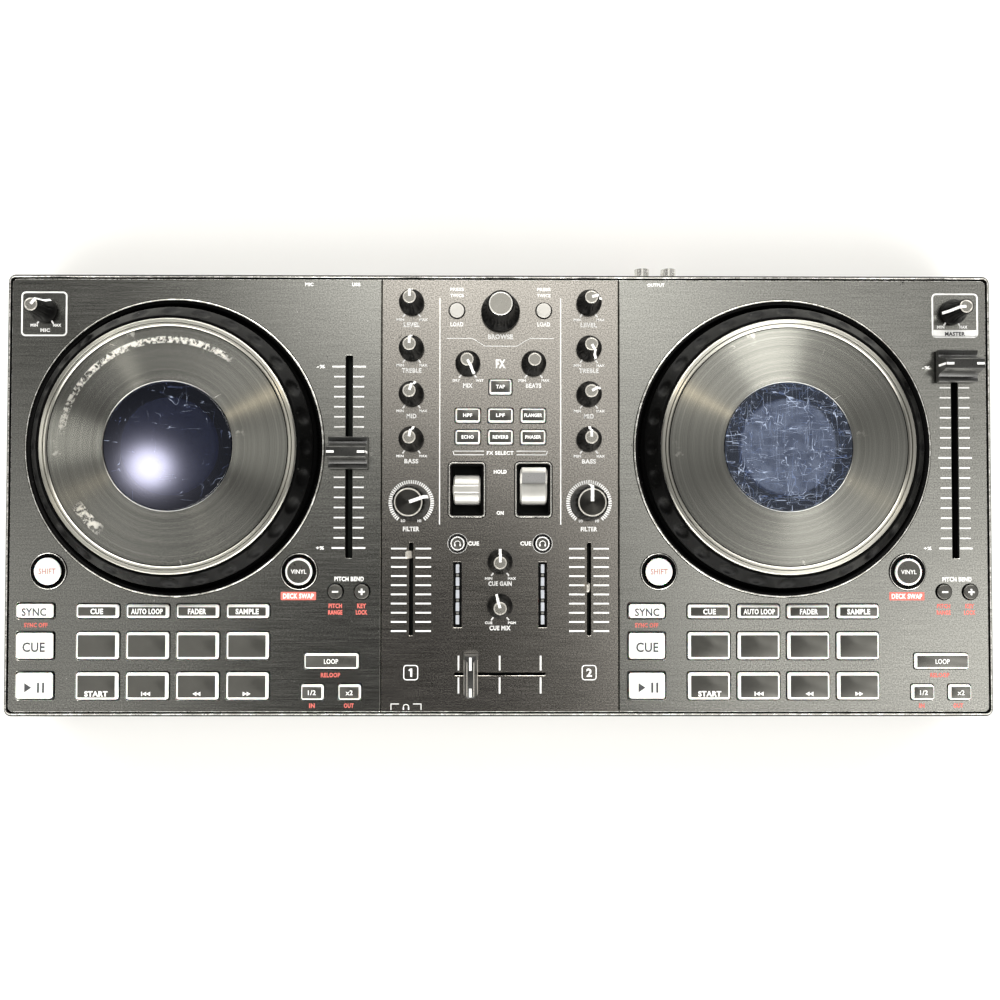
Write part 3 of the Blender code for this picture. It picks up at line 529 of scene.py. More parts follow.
def scratched_window(name, tint_through, marks, haze_and_glow_amount):
    """Clear plastic that has been scratched all over. Its blue-white scratches and haze are real wear with
    painted glow: the haze is strongest over the display disc and stands in for the lit display's light.
    """
    clean = (0.004, 0.005, 0.008)
    made, tree, shader = paint(name, clean, 0.1, Specular_IOR_Level=0.8)
    where = place(tree)
    lines = hairlines(tree, where, 80.0, 0.005, marks)
    for scale, width, squeeze, angle in (
        (190.0, 0.008, (1.0, 0.24, 1.0), 0.5), (260.0, 0.01, (0.2, 1.0, 1.0), -0.35),
        (330.0, 0.012, (1.0, 0.16, 1.0), 1.2), (430.0, 0.014, (0.14, 1.0, 1.0), 0.9),
    ):
        lines = most(tree, lines, hairlines(tree, place(tree, squeeze, angle), scale, width, marks))
    radius = vector(tree, "LENGTH", place(tree, (1.0, 1.0, 0.0)))
    # Painted glow: the blue-white haze is strongest over the display disc, standing in for the lit display's
    # light in the scratched plastic
    haze = spread(tree, noise(tree, where, 120.0, 5.0, 0.75), 0.25, 0.75, 0.45 * haze_and_glow_amount, haze_and_glow_amount)
    haze = times(tree, haze, spread(tree, radius, 0.0245, 0.0262, 1.0, 0.3))
    scratch_and_glow_cover = most(tree, times(tree, lines, 0.8), haze)
    dress(tree, shader, mix_colour(tree, scratch_and_glow_cover, (*clean, 1.0), (0.44, 0.52, 0.70, 1.0)),
          spread(tree, scratch_and_glow_cover, 0.0, 1.0, 0.1, 0.5))
    clear = add_node(tree, "BsdfTransparent", {"Color": tint_through}).outputs[0]
    solid = spread(tree, scratch_and_glow_cover, 0.0, 1.0, 0.3, 1.0)
    both = add_node(tree, "MixShader", {0: solid, 1: clear, 2: shader.outputs[0]}).outputs[0]
    tree.links.new(both, tree.nodes["Material Output"].inputs["Surface"])
    return made


def printed(name, colour):
    return moulded(name, colour, 0.5, 0.0, 1200.0, 0.00002)


def film(name, colour, roughness, metallic, depth=0.000002):
    return moulded(name, colour, roughness, 0.0, 900.0, depth, Metallic=metallic)


PLATTER = (0.25, 0.25, 0.23)
FINISH = {
    "side_panel": sheet_metal("side_panel_sheet", (0.47, 0.47, 0.437), 0.21, 0.3),
    "mixer_panel": sheet_metal("mixer_panel_sheet", (0.50, 0.475, 0.435), 0.21, 0.05),
    "case": worn_metal("case_paint", grey(0.006), (0.4, 0.39, 0.36), 0.4, 0.69, 0.0, Specular_IOR_Level=0.08),
    # The rim finish is a painted highlight: bright metal laid on bevels, crests and lips that catch the
    # light, with some bare wear chips as well
    "rim": worn_metal("worn_rim", (0.55, 0.54, 0.5), (0.95, 0.94, 0.9), 0.3, 0.5),
    "deck": moulded("deck_plastic", grey(0.0012), 0.7, 0.03, Specular_IOR_Level=0.05),
    # The board's green is darkened nearly to black: painted shade for the dark inside the case
    "board": moulded("board_lacquer_painted_shade", (0.002, 0.008, 0.004), 0.5, 0.0, 700.0),
    "foot": moulded("foot_rubber", grey(0.014), 0.8, 0.4, 900.0, 0.0002),
    "black": moulded("black_plastic", grey(0.0015), 0.45, 0.04, Specular_IOR_Level=0.08),
    "gloss": moulded("gloss_black", grey(0.001), 0.25, 0.04, Specular_IOR_Level=0.12),
    "rubber": moulded("knob_rubber", grey(0.0012), 0.42, 0.06, 1500.0, 0.00012, Specular_IOR_Level=0.09),
    "cap": moulded("knob_cap", (0.34, 0.33, 0.30), 0.3, 0.0, 1400.0, 0.00003, Metallic=0.75),
    "cap_edge": moulded("knob_cap_edge", (0.62, 0.6, 0.55), 0.3, 0.0, Metallic=0.6),
    "grip": moulded("grip_ring_rubber", grey(0.0006), 0.38, 0.08, 1300.0, 0.0001, Specular_IOR_Level=0.07),
    "fader": moulded("fader_cap_plastic", (0.016, 0.016, 0.015), 0.3, 0.1, Specular_IOR_Level=0.5),
    "white": printed("white_print", (0.93, 0.93, 0.90)),
    "red": printed("red_print", (0.72, 0.16, 0.13)),
    "ink": printed("dark_ink", (0.05, 0.05, 0.055)),
    "faded": printed("faded_red_print", (0.42, 0.19, 0.17)),
    "key": moulded("white_key_plastic", (0.82, 0.82, 0.79), 0.32, 0.0, 900.0, 0.00005,
                   Subsurface_Weight=0.15, Subsurface_Scale=0.001, Coat_Weight=0.15),
    "key_face": film("key_face_film", (0.15, 0.148, 0.135), 0.16, 0.7),
    "grey_face": film("grey_key_film", (0.22, 0.217, 0.2), 0.18, 0.8),
    "dim_face": film("dim_button_film", (0.1, 0.098, 0.09), 0.3, 0.6, 0.00003),
    "load_face": film("load_key_plastic", (0.50, 0.49, 0.46), 0.4, 0.0, 0.00002),
    "paddle": film("satin_paddle", (0.42, 0.415, 0.39), 0.34, 0.35, 0.00003),
    "chrome": worn_metal("polished_metal", (0.72, 0.71, 0.67), (0.9, 0.9, 0.88), 0.2, 0.7),
    "steel": worn_metal("bright_steel", (0.6, 0.59, 0.56), (0.85, 0.84, 0.8), 0.28, 0.7),
    "brass": worn_metal("contact_metal", (0.62, 0.5, 0.28), (0.8, 0.7, 0.45), 0.3, 0.7),
    "knob_face": turned_metal("turned_knob_face", (0.05, 0.049, 0.045), 0.3, 0.9),
    "left_platter": turned_metal("left_turned_platter", PLATTER, 0.26, 0.66, True),
    "right_platter": turned_metal("right_turned_platter", PLATTER, 0.26, 0.66),
    "lip": turned_metal("turned_lip", (0.52, 0.51, 0.46), 0.3, 0.75),
    "left_glass": scratched_window("left_window", (0.55, 0.58, 0.72, 1.0), 0.60, 0.04),
    "right_glass": scratched_window("right_window", (0.6, 0.68, 0.85, 1.0), 0.47, 0.36),
    "screen": moulded("display_face", (0.05, 0.06, 0.11), 0.3, 0.0, 500.0),
    "lens": moulded("meter_lens", (0.42, 0.44, 0.48), 0.25, 0.0, 700.0, 0.00005),
    "dim_lens": moulded("dim_meter_lens", (0.16, 0.16, 0.15), 0.3, 0.0, 700.0, 0.00005),
    "red_plastic": moulded("red_insulator", (0.55, 0.02, 0.02), 0.35),
    "white_plastic": moulded("white_insulator", (0.75, 0.75, 0.72), 0.35),
}


# ------------------------------------------------------------------ pieces

def solid(name, bm):
    """An object in metres from a mesh in millimetres, with its faces turned outward."""
    bmesh.ops.recalc_face_normals(bm, faces=bm.faces)
    mesh = bpy.data.meshes.new(name)
    bm.to_mesh(mesh)
    bm.free()
    mesh.transform(Matrix.Scale(MM, 4))
    made = bpy.data.objects.new(name, mesh)
    scene.collection.objects.link(made)
    return made


def piece(name, bm, paints, body="case", spot=(0.0, 0.0, 0.0), node=None, sharp=32.0,
          turned=0.0):
    """A visible object that rides on a body, in place of a CAD node. Its origin is a spot on the panel."""
    made = solid(name, bm)
    for finish in paints.split():
        made.data.materials.append(FINISH[finish])
    made.data.shade_smooth()
    made.data.set_sharp_from_angle(angle=math.radians(sharp))
    made.location = (PANEL + Vector(spot)) * MM
    made.rotation_euler = (0.0, 0.0, turned)
    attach(made, body)
    if node:
        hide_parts(node)
    return made


def cut(target, bm):
    """Takes a closed solid away from a piece."""
    tool = solid("cutter", bm)
    tool.location = PANEL * MM
    step = target.modifiers.new("cut", "BOOLEAN")
    step.object = tool
    step.operation = "DIFFERENCE"
    step.solver = "EXACT"
    bpy.context.view_layer.update()
    shaped = target.evaluated_get(bpy.context.evaluated_depsgraph_get())
    target.data = bpy.data.meshes.new_from_object(shaped)
    target.modifiers.remove(step)
    bpy.data.objects.remove(tool)


def pad_columns(side):
    return [PAD_X + PAD_PITCH * column + deck_shift(side) for column in range(PAD_COLUMNS)]


def pad_cells(side):
    return [(x, y, PAD_WIDTH, height) for y, height in PAD_ROWS for x in pad_columns(side)]


def transport_cells(side):
    return [(TRANSPORT_X + deck_shift(side), y, TRANSPORT_WIDTH, height) for y, height in TRANSPORT_ROWS]


def on_deck(side, spots):
    """Spots or cells of the right deck, moved to a deck."""
    return [(x + deck_shift(side), *rest) for x, *rest in spots]


def fx_cells():
    return [(x, y, *FX_HOLE) for y in FX_ROWS for x in FX_COLUMNS]


def panel_holes():
    """Every hole through the panels, with the x of its middle."""
    rounds = [(*middle(name).xy, SHAFT_HOLE, 24) for name in KNOBS]
    rounds += [(*spot, SMALL_HOLE, 32) for spot in LOAD_BUTTONS]
    rounds += [(*spot, CUE_HOLE, 32) for spot in CUE_BUTTONS]
    cells = [(*cell, 1.2) for cell in fx_cells() + [TAP_KEY]]
    cells.append((0.0, CROSS_Y, *CROSS_SLOT, 0.6))
    for side, sign in SIDES:
        rounds += [(*spot, ROUND_HOLE, 48) for spot in on_deck(side, ROUND_BUTTONS.values())]
        rounds += [(*spot, SMALL_HOLE, 32) for spot in on_deck(side, BEND_KEYS)]
        rounds.append((JOG_X + deck_shift(side), JOG_Y, COLLAR_OUTER + 0.3, 144))
        cells += [(*cell, 1.6) for cell in pad_cells(side) + transport_cells(side)]
        cells += [(*cell, 1.2) for cell in on_deck(side, LOOP_KEYS)]
        cells.append((*on_deck(side, [PITCH_CELL])[0], 0.5))
        cells.append((sign * PADDLE_SPOT[0], PADDLE_SPOT[1], *PADDLE_OPENING, 0.5))
        cells.append((sign * METER_X, METER_Y, *METER_SIZE, 0.4))
        cells.append((sign * STRIP_X, CHANNEL_Y, *CHANNEL_SLOT, 0.8))
    return [(shape[0], disc(*shape)) for shape in rounds] + [(shape[0], slab(*shape)) for shape in cells]


def panel_outline(x, extent, left_round, right_round):
    """A panel's edge: round at the case's corners and square at the seams."""
    half_w, half_d = extent.x / 2, extent.y / 2
    corners = ((1, -1, right_round), (1, 1, right_round), (-1, 1, left_round), (-1, -1, left_round))

    def outline(grow=0.0):
        points = []
        for quarter, (in_x, in_y, radius) in enumerate(corners):
            radius += grow if radius > 1.0 else 0.0
            for step in range(6):
                angle = math.pi / 2 * (quarter - 1 + step / 5)
                points.append((x + in_x * (half_w + grow - radius) + radius * math.cos(angle),
                               in_y * (half_d + grow - radius) + radius * math.sin(angle)))
        return points
    return outline


def make_panels():
    edge_round, seam_round, chamfer, band = 2.6, 0.2, 0.3, 3.1
    levels = ((chamfer, 0.0), (0.0, -chamfer), (0.0, PLATE_UNDER))
    hole_levels = ((PLATE_BEVEL, 0.0), (0.0, -PLATE_BEVEL), (0.0, PLATE_UNDER))
    holes = panel_holes()
    for side, finish, slot, *rounds in (
        ("left", "side_panel", "deck_panel", edge_round, seam_round),
        ("mixer", "mixer_panel", "mixer_panel", seam_round, seam_round),
        ("right", "side_panel", "deck_panel", seam_round, edge_round),
    ):
        node = f"{side}_faceplate"
        spot, extent = middle(node), size(node)
        own = [hole for x, hole in holes if abs(x - spot.x) < extent.x / 2]
        bm = bmesh.new()
        plate(bm, panel_outline(spot.x, extent, *rounds), own, levels, hole_levels)
        # The outer chamfer of each panel gets the bright rim finish: a painted highlight along the panel's
        # edge
        for face in bm.faces:
            centre = face.calc_center_median()
            outer = abs(centre.x) > CASE.x / 2 - band or abs(centre.y) > CASE.y / 2 - band
            if outer and -chamfer < centre.z < -0.05:
                face.material_index = 1
        piece(f"{side}_panel", bm, f"{finish} rim", "case", node=node, sharp=8.0)


def around(cells, margin):
    """The box about a group of cells, as an outline."""
    x0 = min(x - w / 2 for x, y, w, d in cells) - margin
    x1 = max(x + w / 2 for x, y, w, d in cells) + margin
    y0 = min(y - d / 2 for x, y, w, d in cells) - margin
    y1 = max(y + d / 2 for x, y, w, d in cells) + margin
    return slab((x0 + x1) / 2, (y0 + y1) / 2, x1 - x0, y1 - y0, 1.0, 3)


def round_cells(spots, radius):
    return [(x, y, 2 * radius, 2 * radius) for x, y in spots]


def deck_holes():
    """The openings in the case's deck, under the panels."""
    groups = [fx_cells(), [TAP_KEY], [(0.0, CROSS_Y, *CROSS_SLOT)]]
    rounds = [(*middle(name).xy, SHAFT_HOLE, 24) for name in KNOBS]
    rounds += [(*spot, SMALL_HOLE + 0.3, 24) for spot in LOAD_BUTTONS]
    rounds += [(*spot, CUE_HOLE + 0.3, 24) for spot in CUE_BUTTONS]
    for side, sign in SIDES:
        groups += [pad_cells(side), transport_cells(side), on_deck(side, LOOP_KEYS)]
        groups += [round_cells(on_deck(side, BEND_KEYS), SMALL_HOLE), on_deck(side, [PITCH_CELL])]
        groups.append([(sign * PADDLE_SPOT[0], PADDLE_SPOT[1], *PADDLE_OPENING)])
        groups.append([(sign * STRIP_X, CHANNEL_Y, *CHANNEL_SLOT)])
        rounds.append((JOG_X + deck_shift(side), JOG_Y, 34.0))
        rounds += [(*spot, ROUND_HOLE - 0.3, 32) for spot in on_deck(side, ROUND_BUTTONS.values())]
    return [disc(*shape) for shape in rounds] + [around(group, 0.6) for group in groups]


def make_case():
    """Side walls, chamfered rim and deck in one shell, with its sockets' holes."""
    bm = bmesh.new()
    levels = (
        (RIM_WIDTH, DECK_TOP), (RIM_WIDTH, -0.1), (RIM_WIDTH - 0.1, 0.0), (RIM_CHAMFER, 0.0),
        (0.0, -RIM_CHAMFER), (0.0, WALL_FOOT), (WALL, WALL_FOOT), (WALL, DECK_UNDER),
    )
    outer = slab(0.0, 0.0, CASE.x, CASE.y, CASE_CORNER, 8)
    plate(bm, outer, deck_holes(), levels, ((0.0, DECK_TOP), (0.0, DECK_UNDER)), (2, 0, 2))
    # The rim's flat crest gets the bright rim finish: a painted highlight along the case's edge
    for face in bm.faces:
        if face.calc_center_median().z > -0.06:
            face.material_index = 1
    shell = piece("top_shell", bm, "case rim deck", node="top_case", sharp=14.0)
    back = CASE.y / 2
    bm = bmesh.new()
    for x in RCA_X:
        rod(bm, x, SOCKET_Z, back - WALL - 1.0, back + 1.0, 4.45)
    for nodes, sign in ((("mic_jack", "usb_socket"), 1), (("headphone_jacks",), -1)):
        x0 = min(middle(node).x - size(node).x / 2 for node in nodes) - 0.3
        x1 = max(middle(node).x + size(node).x / 2 for node in nodes) + 0.3
        notch = slab((x0 + x1) / 2, sign * (back - WALL / 2), x1 - x0, WALL + 2.0, 0.05, 1)
        rise(bm, notch, ((0.0, WALL_FOOT - 1.0), (0.0, level(nodes[0], 1) + 0.3)))
    cut(shell, bm)


def make_collar(side):
    """The raised black collar round a jog wheel, its outer chamfer and thin lip painted bright as a painted
    highlight.
    """
    bm = bmesh.new()
    profile = [(COLLAR_OUTER - inset, z) for inset, z in (
        (0.0, DECK_TOP), (0.0, 0.35), (0.35, 0.78), (0.75, 0.8), (0.95, 0.45), (1.6, 0.45),
    )]
    profile += [(COLLAR_INNER + 0.8, -0.3), (COLLAR_INNER, -0.9), (COLLAR_INNER, DECK_TOP)]
    turn(bm, profile, 192, paints=(0, 1, 1, 0, 0, 0, 0, 0, 0), closed=True)
    piece(f"{side}_jog_collar", bm, "gloss rim", spot=(JOG_X + deck_shift(side), JOG_Y, 0.0))


# ------------------------------------------------------------------ jog wheels

GRIP_TOP, GRIP_FOOT = (69.6, 11.0), (75.4, 4.1)


def grip_dimple(angle, radius, z):
    """Round finger dimples sunk into the ring's slope."""
    if not 3.9 < z < 11.05 or radius < 69.5:
        return radius, z
    length = math.dist(GRIP_TOP, GRIP_FOOT)
    along = math.dist((radius, z), GRIP_TOP)
    pitch = math.tau / DIMPLES
    off = (angle + pitch / 2) % pitch - pitch / 2
    reach = math.hypot(off * 72.0, along - length * 0.46) / 4.1
    depth = 1.15 * max(0.0, 1.0 - reach * reach) ** 0.7
    return radius - depth * 0.76, z - depth * 0.65


def make_jog(side):
    """Grip ring, platter and window, and the display that they turn over."""
    glass, screen = size(f"{side}_jog_window").x / 2, size(f"{side}_jog_display").x / 2
    post = level(f"{side}_jog_display")
    (r0, z0), (r1, z1) = GRIP_TOP, GRIP_FOOT
    slope = [(r1 - (r1 - r0) * k / 14, z1 + (z0 - z1) * k / 14) for k in range(15)]
    ring = [(60.0, 8.5), (60.0, 1.0), (75.1, 1.0), (75.5, 1.3), (75.5, 3.9), *slope]
    ring += [(69.2, 11.1), (68.3, 11.0), (68.2, 10.7), (68.2, 8.5)]
    platter = (
        (67.9, 8.8), (67.9, 11.3), (67.3, 12.0), (65.9, 12.0), (65.7, 11.55), (65.4, 11.55),
        (65.2, 11.9), (64.3, 11.9), (63.75, 11.25), (63.45, 11.0), (63.2, 11.25),
        (34.7, 11.25), (34.3, 10.9), (34.2, 9.7), (29.5, 9.7), (29.5, -4.5), (12.3, -4.5),
        (12.3, -7.0), (33.0, -7.0), (33.0, 8.8),
    )
    window = (
        (0.0, 10.0), (glass - 0.2, 10.0), (glass, 10.2), (glass, 11.1), (glass - 0.3, 11.4), (0.0, 11.4),
    )
    display = (
        (0.0, 7.5), (screen - 1.6, 7.5), (screen - 1.4, 7.7), (screen - 0.2, 7.7), (screen, 7.5),
        (screen, 4.7), (12.0, 4.7), (12.0, post), (0.0, post),
    )
    for name, node, paints, body, slot, sharp, profile, *shape in (
        ("grip_ring", "ring", "grip", f"{side}_jog", "grip_ring", 40.0,
         ring, DIMPLES * 14, (0.0, 0.0), None, True, grip_dimple),
        # Painted shade: the two narrow grooves in the platter's lip are painted black, for the shade in them
        ("platter_plate", "platter", f"{side}_platter lip chrome black", f"{side}_jog", "platter_metal", 32.0,
         platter, 192, (0.0, 0.0), (2, 1, 1, 1, 3, 1, 1, 1, 3, 3, 0, 1, 3, 3, 3, 3, 3, 3, 3, 3), True),
        ("window_disc", "window", f"{side}_glass", f"{side}_jog", "window", 32.0, window, 128),
        ("screen", "display", "screen black", "case", "display", 32.0,
         display, 96, (0.0, 0.0), (0, 0, 1, 1, 1, 1, 1, 1)),
    ):
        bm = bmesh.new()
        turn(bm, profile, *shape)
        piece(f"{side}_{name}", bm, paints, body, (JOG_X + deck_shift(side), JOG_Y, 0.0),
              f"{side}_jog_{node}", sharp)


# ------------------------------------------------------------------ knobs

def knob_body(bm, outline, cap_radius, flutes, depth, pointer_width, pointer_start):
    """A rubber knob on its shaft with a cap let into the top and a pointer over its edge."""
    foot = level("browse_knob")
    (skirt, skirt_z), (top, top_z) = outline[0], outline[-1]

    def groove(angle, radius, z):
        if not skirt_z + 2.5 < z < top_z - 0.4:
            return radius, z
        return radius - depth * max(0.0, math.cos(angle * flutes)) ** 6, z

    profile = [(0.0, foot), (3.0, foot), (3.0, skirt_z), (skirt - 0.4, skirt_z), (skirt, skirt_z + 0.4)]
    for (r0, z0), (r1, z1) in zip(outline[1:], outline[2:]):
        profile += [(r0 + (r1 - r0) * k / 3, z0 + (z1 - z0) * k / 3) for k in range(3)]
    profile += [(top, top_z - 0.3), (top - 0.3, top_z - 0.05), (cap_radius, top_z - 0.05)]
    profile += [(cap_radius, top_z - 0.4), (0.0, top_z - 0.4)]
    turn(bm, profile, 72, dent=groove)
    low, crown = top_z - 0.38, top_z - 0.06
    profile = [(0.0, low)]
    profile += [(cap_radius - inset, z) for inset, z in (
        (0.08, low), (0.08, crown - 0.25), (0.35, crown), (0.75, crown), (0.85, crown - 0.12),
    )]
    turn(bm, profile + [(0.0, crown - 0.12)], 48, paints=(1, 1, 2, 2, 2, 1))
    if pointer_width:
        path = [(r + 0.02, z) for r, z in outline[1:-1]]
        path += [(top + 0.02, top_z - 0.25), (cap_radius, crown - 0.02), (pointer_start, crown - 0.1)]
        ribbon(bm, path, pointer_width, -0.1, 3)


# Outline, cap radius, flutes and their depth, and the pointer's width and start
SMALL_KNOB = (((6.75, 1.0), (6.75, 3.2), (4.8, 7.0), (3.9, 14.8)), 3.65, 9, 0.3, 1.35, 0.3)
BEATS_KNOB = (*SMALL_KNOB[:4], 0.0, 0.0)
CORNER_KNOB = (((6.75, 1.0), (6.75, 3.4), (4.9, 7.5), (3.9, 16.0)), 3.65, 9, 0.3, 1.45, 0.2)
FILTER_KNOB = (((9.8, 1.0), (9.8, 3.5), (8.6, 16.6), (8.0, 18.0)), 7.6, 18, 0.4, 1.7, 0.6)
BROWSE_KNOB = (((10.5, 1.0), (10.5, 3.5), (7.9, 7.5), (7.0, 21.8)), 6.4, 24, 0.35, 0.0, 0.0)
KNOB_SHAPES = {
    "browse_knob": BROWSE_KNOB, "beats_knob": BEATS_KNOB, "mic_knob": CORNER_KNOB,
    "master_knob": CORNER_KNOB, "left_filter_knob": FILTER_KNOB, "right_filter_knob": FILTER_KNOB,
}
# How far each pointer that isn't straight is turned clockwise from the back
POINTERS = {
    "mic_knob": 40, "master_knob": -98, "dry_wet_knob": 150, "cue_mix_knob": -17, "left_mid_knob": 20,
    "left_bass_knob": 12, "right_level_knob": 76, "right_treble_knob": 150, "right_mid_knob": 62,
    "left_filter_knob": 71,
}


def make_knobs():
    for node in KNOBS:
        bm = bmesh.new()
        shape = KNOB_SHAPES.get(node, SMALL_KNOB)
        knob_body(bm, *shape)
        finishes = {BROWSE_KNOB: "rubber cap chrome", FILTER_KNOB: "rubber knob_face cap_edge white"}
        piece(f"{node}_shape", bm, finishes.get(shape, "rubber cap cap_edge white"), node,
              (*middle(node).xy, 0.0), node, turned=-math.radians(POINTERS.get(node, 0)))


# ------------------------------------------------------------------ keys

def key_cap(bm, cell, frame_width=0.95, face=True, gap=0.42, draw=1.0):
    """A tapered cap in its hole, painted black below the panel as painted shade for the deep gap round it. A
    face is a film let into the top.
    """
    x, y, width, depth = cell
    width, depth = width - 2 * gap, depth - 2 * gap
    base = slab(x, y, width, depth, 1.4)
    crown = KEY_TOP - (0.06 if face else 0.0)
    # Painted shade: the part of the cap inside the panel's hole is black, for the shade in the gap round it
    rise(bm, base, ((-0.02, WEB_TOP + 0.05), (-0.02, 0.1)), 3)
    rise(bm, base, (
        (0.0, 0.1), (-0.1 * draw, 0.6), (-0.3 * draw, crown - 0.6), (-0.55 * draw, crown - 0.2),
        (-0.9 * draw, crown),
    ))
    if face:
        film_edge = slab(x, y, width - 2 * frame_width, depth - 2 * frame_width, 0.4)
        rise(bm, film_edge, ((0.0, crown), (0.0, KEY_TOP - 0.02), (-0.05, KEY_TOP)), 1)


def button(bm, spot, profile, paints):
    """A round cap that stands on a web. profile runs from its side up to the edge of its top."""
    foot = WEB_TOP + 0.05
    turn(bm, ((0.0, foot), (profile[0][0], foot), *profile, (0.0, profile[-1][1])), 40, spot, paints)


def key_group(cells, words=(), **cap):
    """Caps on a web of their own, with words on top: text, x, y, width, height and maybe a weight."""
    bm = bmesh.new()
    web(bm, cells)
    for cell in cells:
        key_cap(bm, cell, **cap)
    for text, *rest in words:
        write(bm, text, *rest[:4], KEY_TOP, KEY_TOP + INK, 2, *rest[4:])
    return bm


def web(bm, cells):
    rise(bm, around(cells, 1.2), ((0.0, WEB_UNDER), (0.0, WEB_TOP)))


def arrow(bm, x, y, width, height, way, paint):
    """A triangle that points along X, on a key."""
    back, half = x - way * width / 2, height / 2
    tile(bm, [(back, y - half), (x + way * width / 2, y), (back, y + half)][::way],
         KEY_TOP, KEY_TOP + INK, paint)


def make_pads(side):
    columns = pad_columns(side)
    modes = (("CUE", 6.8), ("AUTO LOOP", 17.0), ("FADER", 9.8), ("SAMPLE", 12.4))
    words = [(text, x, PAD_ROWS[0][0], width, 3.0) for x, (text, width) in zip(columns, modes)]
    y = -106.9
    words.append(("START", columns[0], y, 12.4, 3.0))
    bm = key_group(pad_cells(side), words, frame_width=1.35, gap=0.6)
    for x, way in zip(columns[1:], (-1, -1, 1)):
        for step in (-1.05, 1.05):
            arrow(bm, x + step, y, 2.1, 2.3, way, 2)
    bar(bm, columns[1] - 2.45, y, 0.55, 2.3, KEY_TOP, KEY_TOP + INK, 2)
    node = f"{side}_pad_keys"
    piece(f"{side}_pads", bm, "key key_face white black", node, node=node)


def make_transport(side):
    x = TRANSPORT_X + deck_shift(side)
    words = (("SYNC", x, -63.2, 13.2, 4.2, 0.022), ("CUE", x, -82.0, 12.0, 5.2, 0.022))
    bm = key_group(transport_cells(side), words, face=False, gap=0.95, draw=0.35)
    y = -103.6
    arrow(bm, x - 2.9, y, 3.7, 5.0, 1, 2)
    for step in (2.6, 5.3):
        bar(bm, x + step, y, 1.1, 5.4, KEY_TOP, KEY_TOP + INK, 2)
    node = f"{side}_transport_keys"
    piece(f"{side}_transport", bm, "key ink ink black", node, node=node)


def make_loops(side):
    """The loop keys, and the pitch bend buttons that share their web."""
    cells, bends = on_deck(side, LOOP_KEYS), on_deck(side, BEND_KEYS)
    names = (("LOOP", 7.6), ("1/2", 4.2), ("x2", 3.8))
    bm = key_group(cells, [(text, *cell[:2], wide, 2.6, THIN) for cell, (text, wide) in zip(cells, names)])
    web(bm, round_cells(bends, SMALL_HOLE))
    bar(bm, bends[1][0] - 2.0, -70.8, 8.0, 30.0, WEB_UNDER + 0.1, WEB_TOP - 0.1)
    for x, y in bends:
        button(bm, (x, y), ((3.9, 1.0), (3.6, 1.45), (3.1, 1.6)), (3, 3, 4, 4, 4))
        bar(bm, x, y, 3.4, 0.9, 1.6, 1.63, 2)
    bar(bm, *bends[1], 0.9, 3.4, 1.6, 1.64, 2)
    node = f"{side}_loop_keys"
    piece(f"{side}_loops", bm, "key grey_face white black dim_face", node, node=node)


def make_round_buttons(side):
    for kind, text, wide, high, paints, top in (
        ("shift", "SHIFT", 9.2, 3.1, "key black faded", 0),
        ("scratch", "VINYL", 8.4, 2.3, "key dim_face white", 1),
    ):
        node = f"{side}_{kind}_button"
        (x, y), = on_deck(side, [ROUND_BUTTONS[kind]])
        bm = bmesh.new()
        turn(bm, (
            (0.0, WEB_UNDER), (9.1, WEB_UNDER), (9.1, WEB_TOP), (7.3, WEB_TOP), (7.3, 0.2), (7.3, 1.2),
            (7.05, 1.65), (6.7, 1.8), (6.2, 1.8), (6.05, 1.7), (0.0, 1.7),
        ), paints=(1, 1, 1, 1, 1, 0, 0, 0, top, top))
        write(bm, text, 0.0, 0.0, wide, high, 1.7, 1.7 + INK, 2, THIN)
        piece(f"{node}_shape", bm, paints, node, (x, y, 0.0), node)
        bm = bmesh.new()
        # The collar's thin outer band gets the bright rim finish: a painted highlight on its edge
        turn(bm, ((8.1, -0.02), (8.1, 0.5), (8.35, 0.75), (9.2, 0.8), (9.45, 0.78), (9.75, 0.62),
                  (10.2, 0.1), (10.2, -0.02)), paints=(0, 0, 0, 0, 1, 0, 0, 0), closed=True)
        piece(f"{node}_collar", bm, "gloss rim", spot=(x, y, 0.02))


def make_mixer_keys():
    names = (("HPF", 5.0), ("LPF", 4.8), ("FLANGER", 9.6), ("ECHO", 6.6), ("REVERB", 8.4), ("PHASER", 8.6))
    words = [(text, *cell[:2], wide, 2.0) for cell, (text, wide) in zip(fx_cells(), names)]
    piece("fx_select_keys", key_group(fx_cells(), words), "key key_face white black", "fx_keys",
          node="fx_keys")
    piece("tap_tempo_key", key_group([TAP_KEY], [("TAP", *TAP_KEY[:2], 4.8, 2.0)]),
          "key grey_face white black", "tap_key", node="tap_key")

    bm = bmesh.new()
    sheet = ((0.0, WEB_TOP), (0.0, WEB_UNDER))
    shaft = disc(0.1, 99.0, SHAFT_HOLE, 24)
    plate(bm, around(round_cells(LOAD_BUTTONS, 3.9), 1.2), [shaft], sheet, sheet)
    for spot in LOAD_BUTTONS:
        button(bm, spot, ((3.9, 0.3), (3.9, 1.0), (3.6, 1.45), (3.0, 1.6)), (1, 1, 0, 0, 0, 0))
    piece("load_buttons", bm, "load_face black", "load_keys", node="load_keys")

    bm = bmesh.new()
    web(bm, round_cells(CUE_BUTTONS, 4.3))
    for spot in CUE_BUTTONS:
        button(bm, spot, ((4.3, 1.0), (4.1, 1.3), (3.75, 1.5), (3.3, 1.55), (3.2, 1.5)),
               (3, 3, 3, 3, 0, 0, 1))
        headphones(bm, *spot, 0.82, 1.5, 1.5 + INK, 2)
    piece("cue_buttons", bm, "white dim_face white black", "headphone_cue_keys",
          node="headphone_cue_keys")


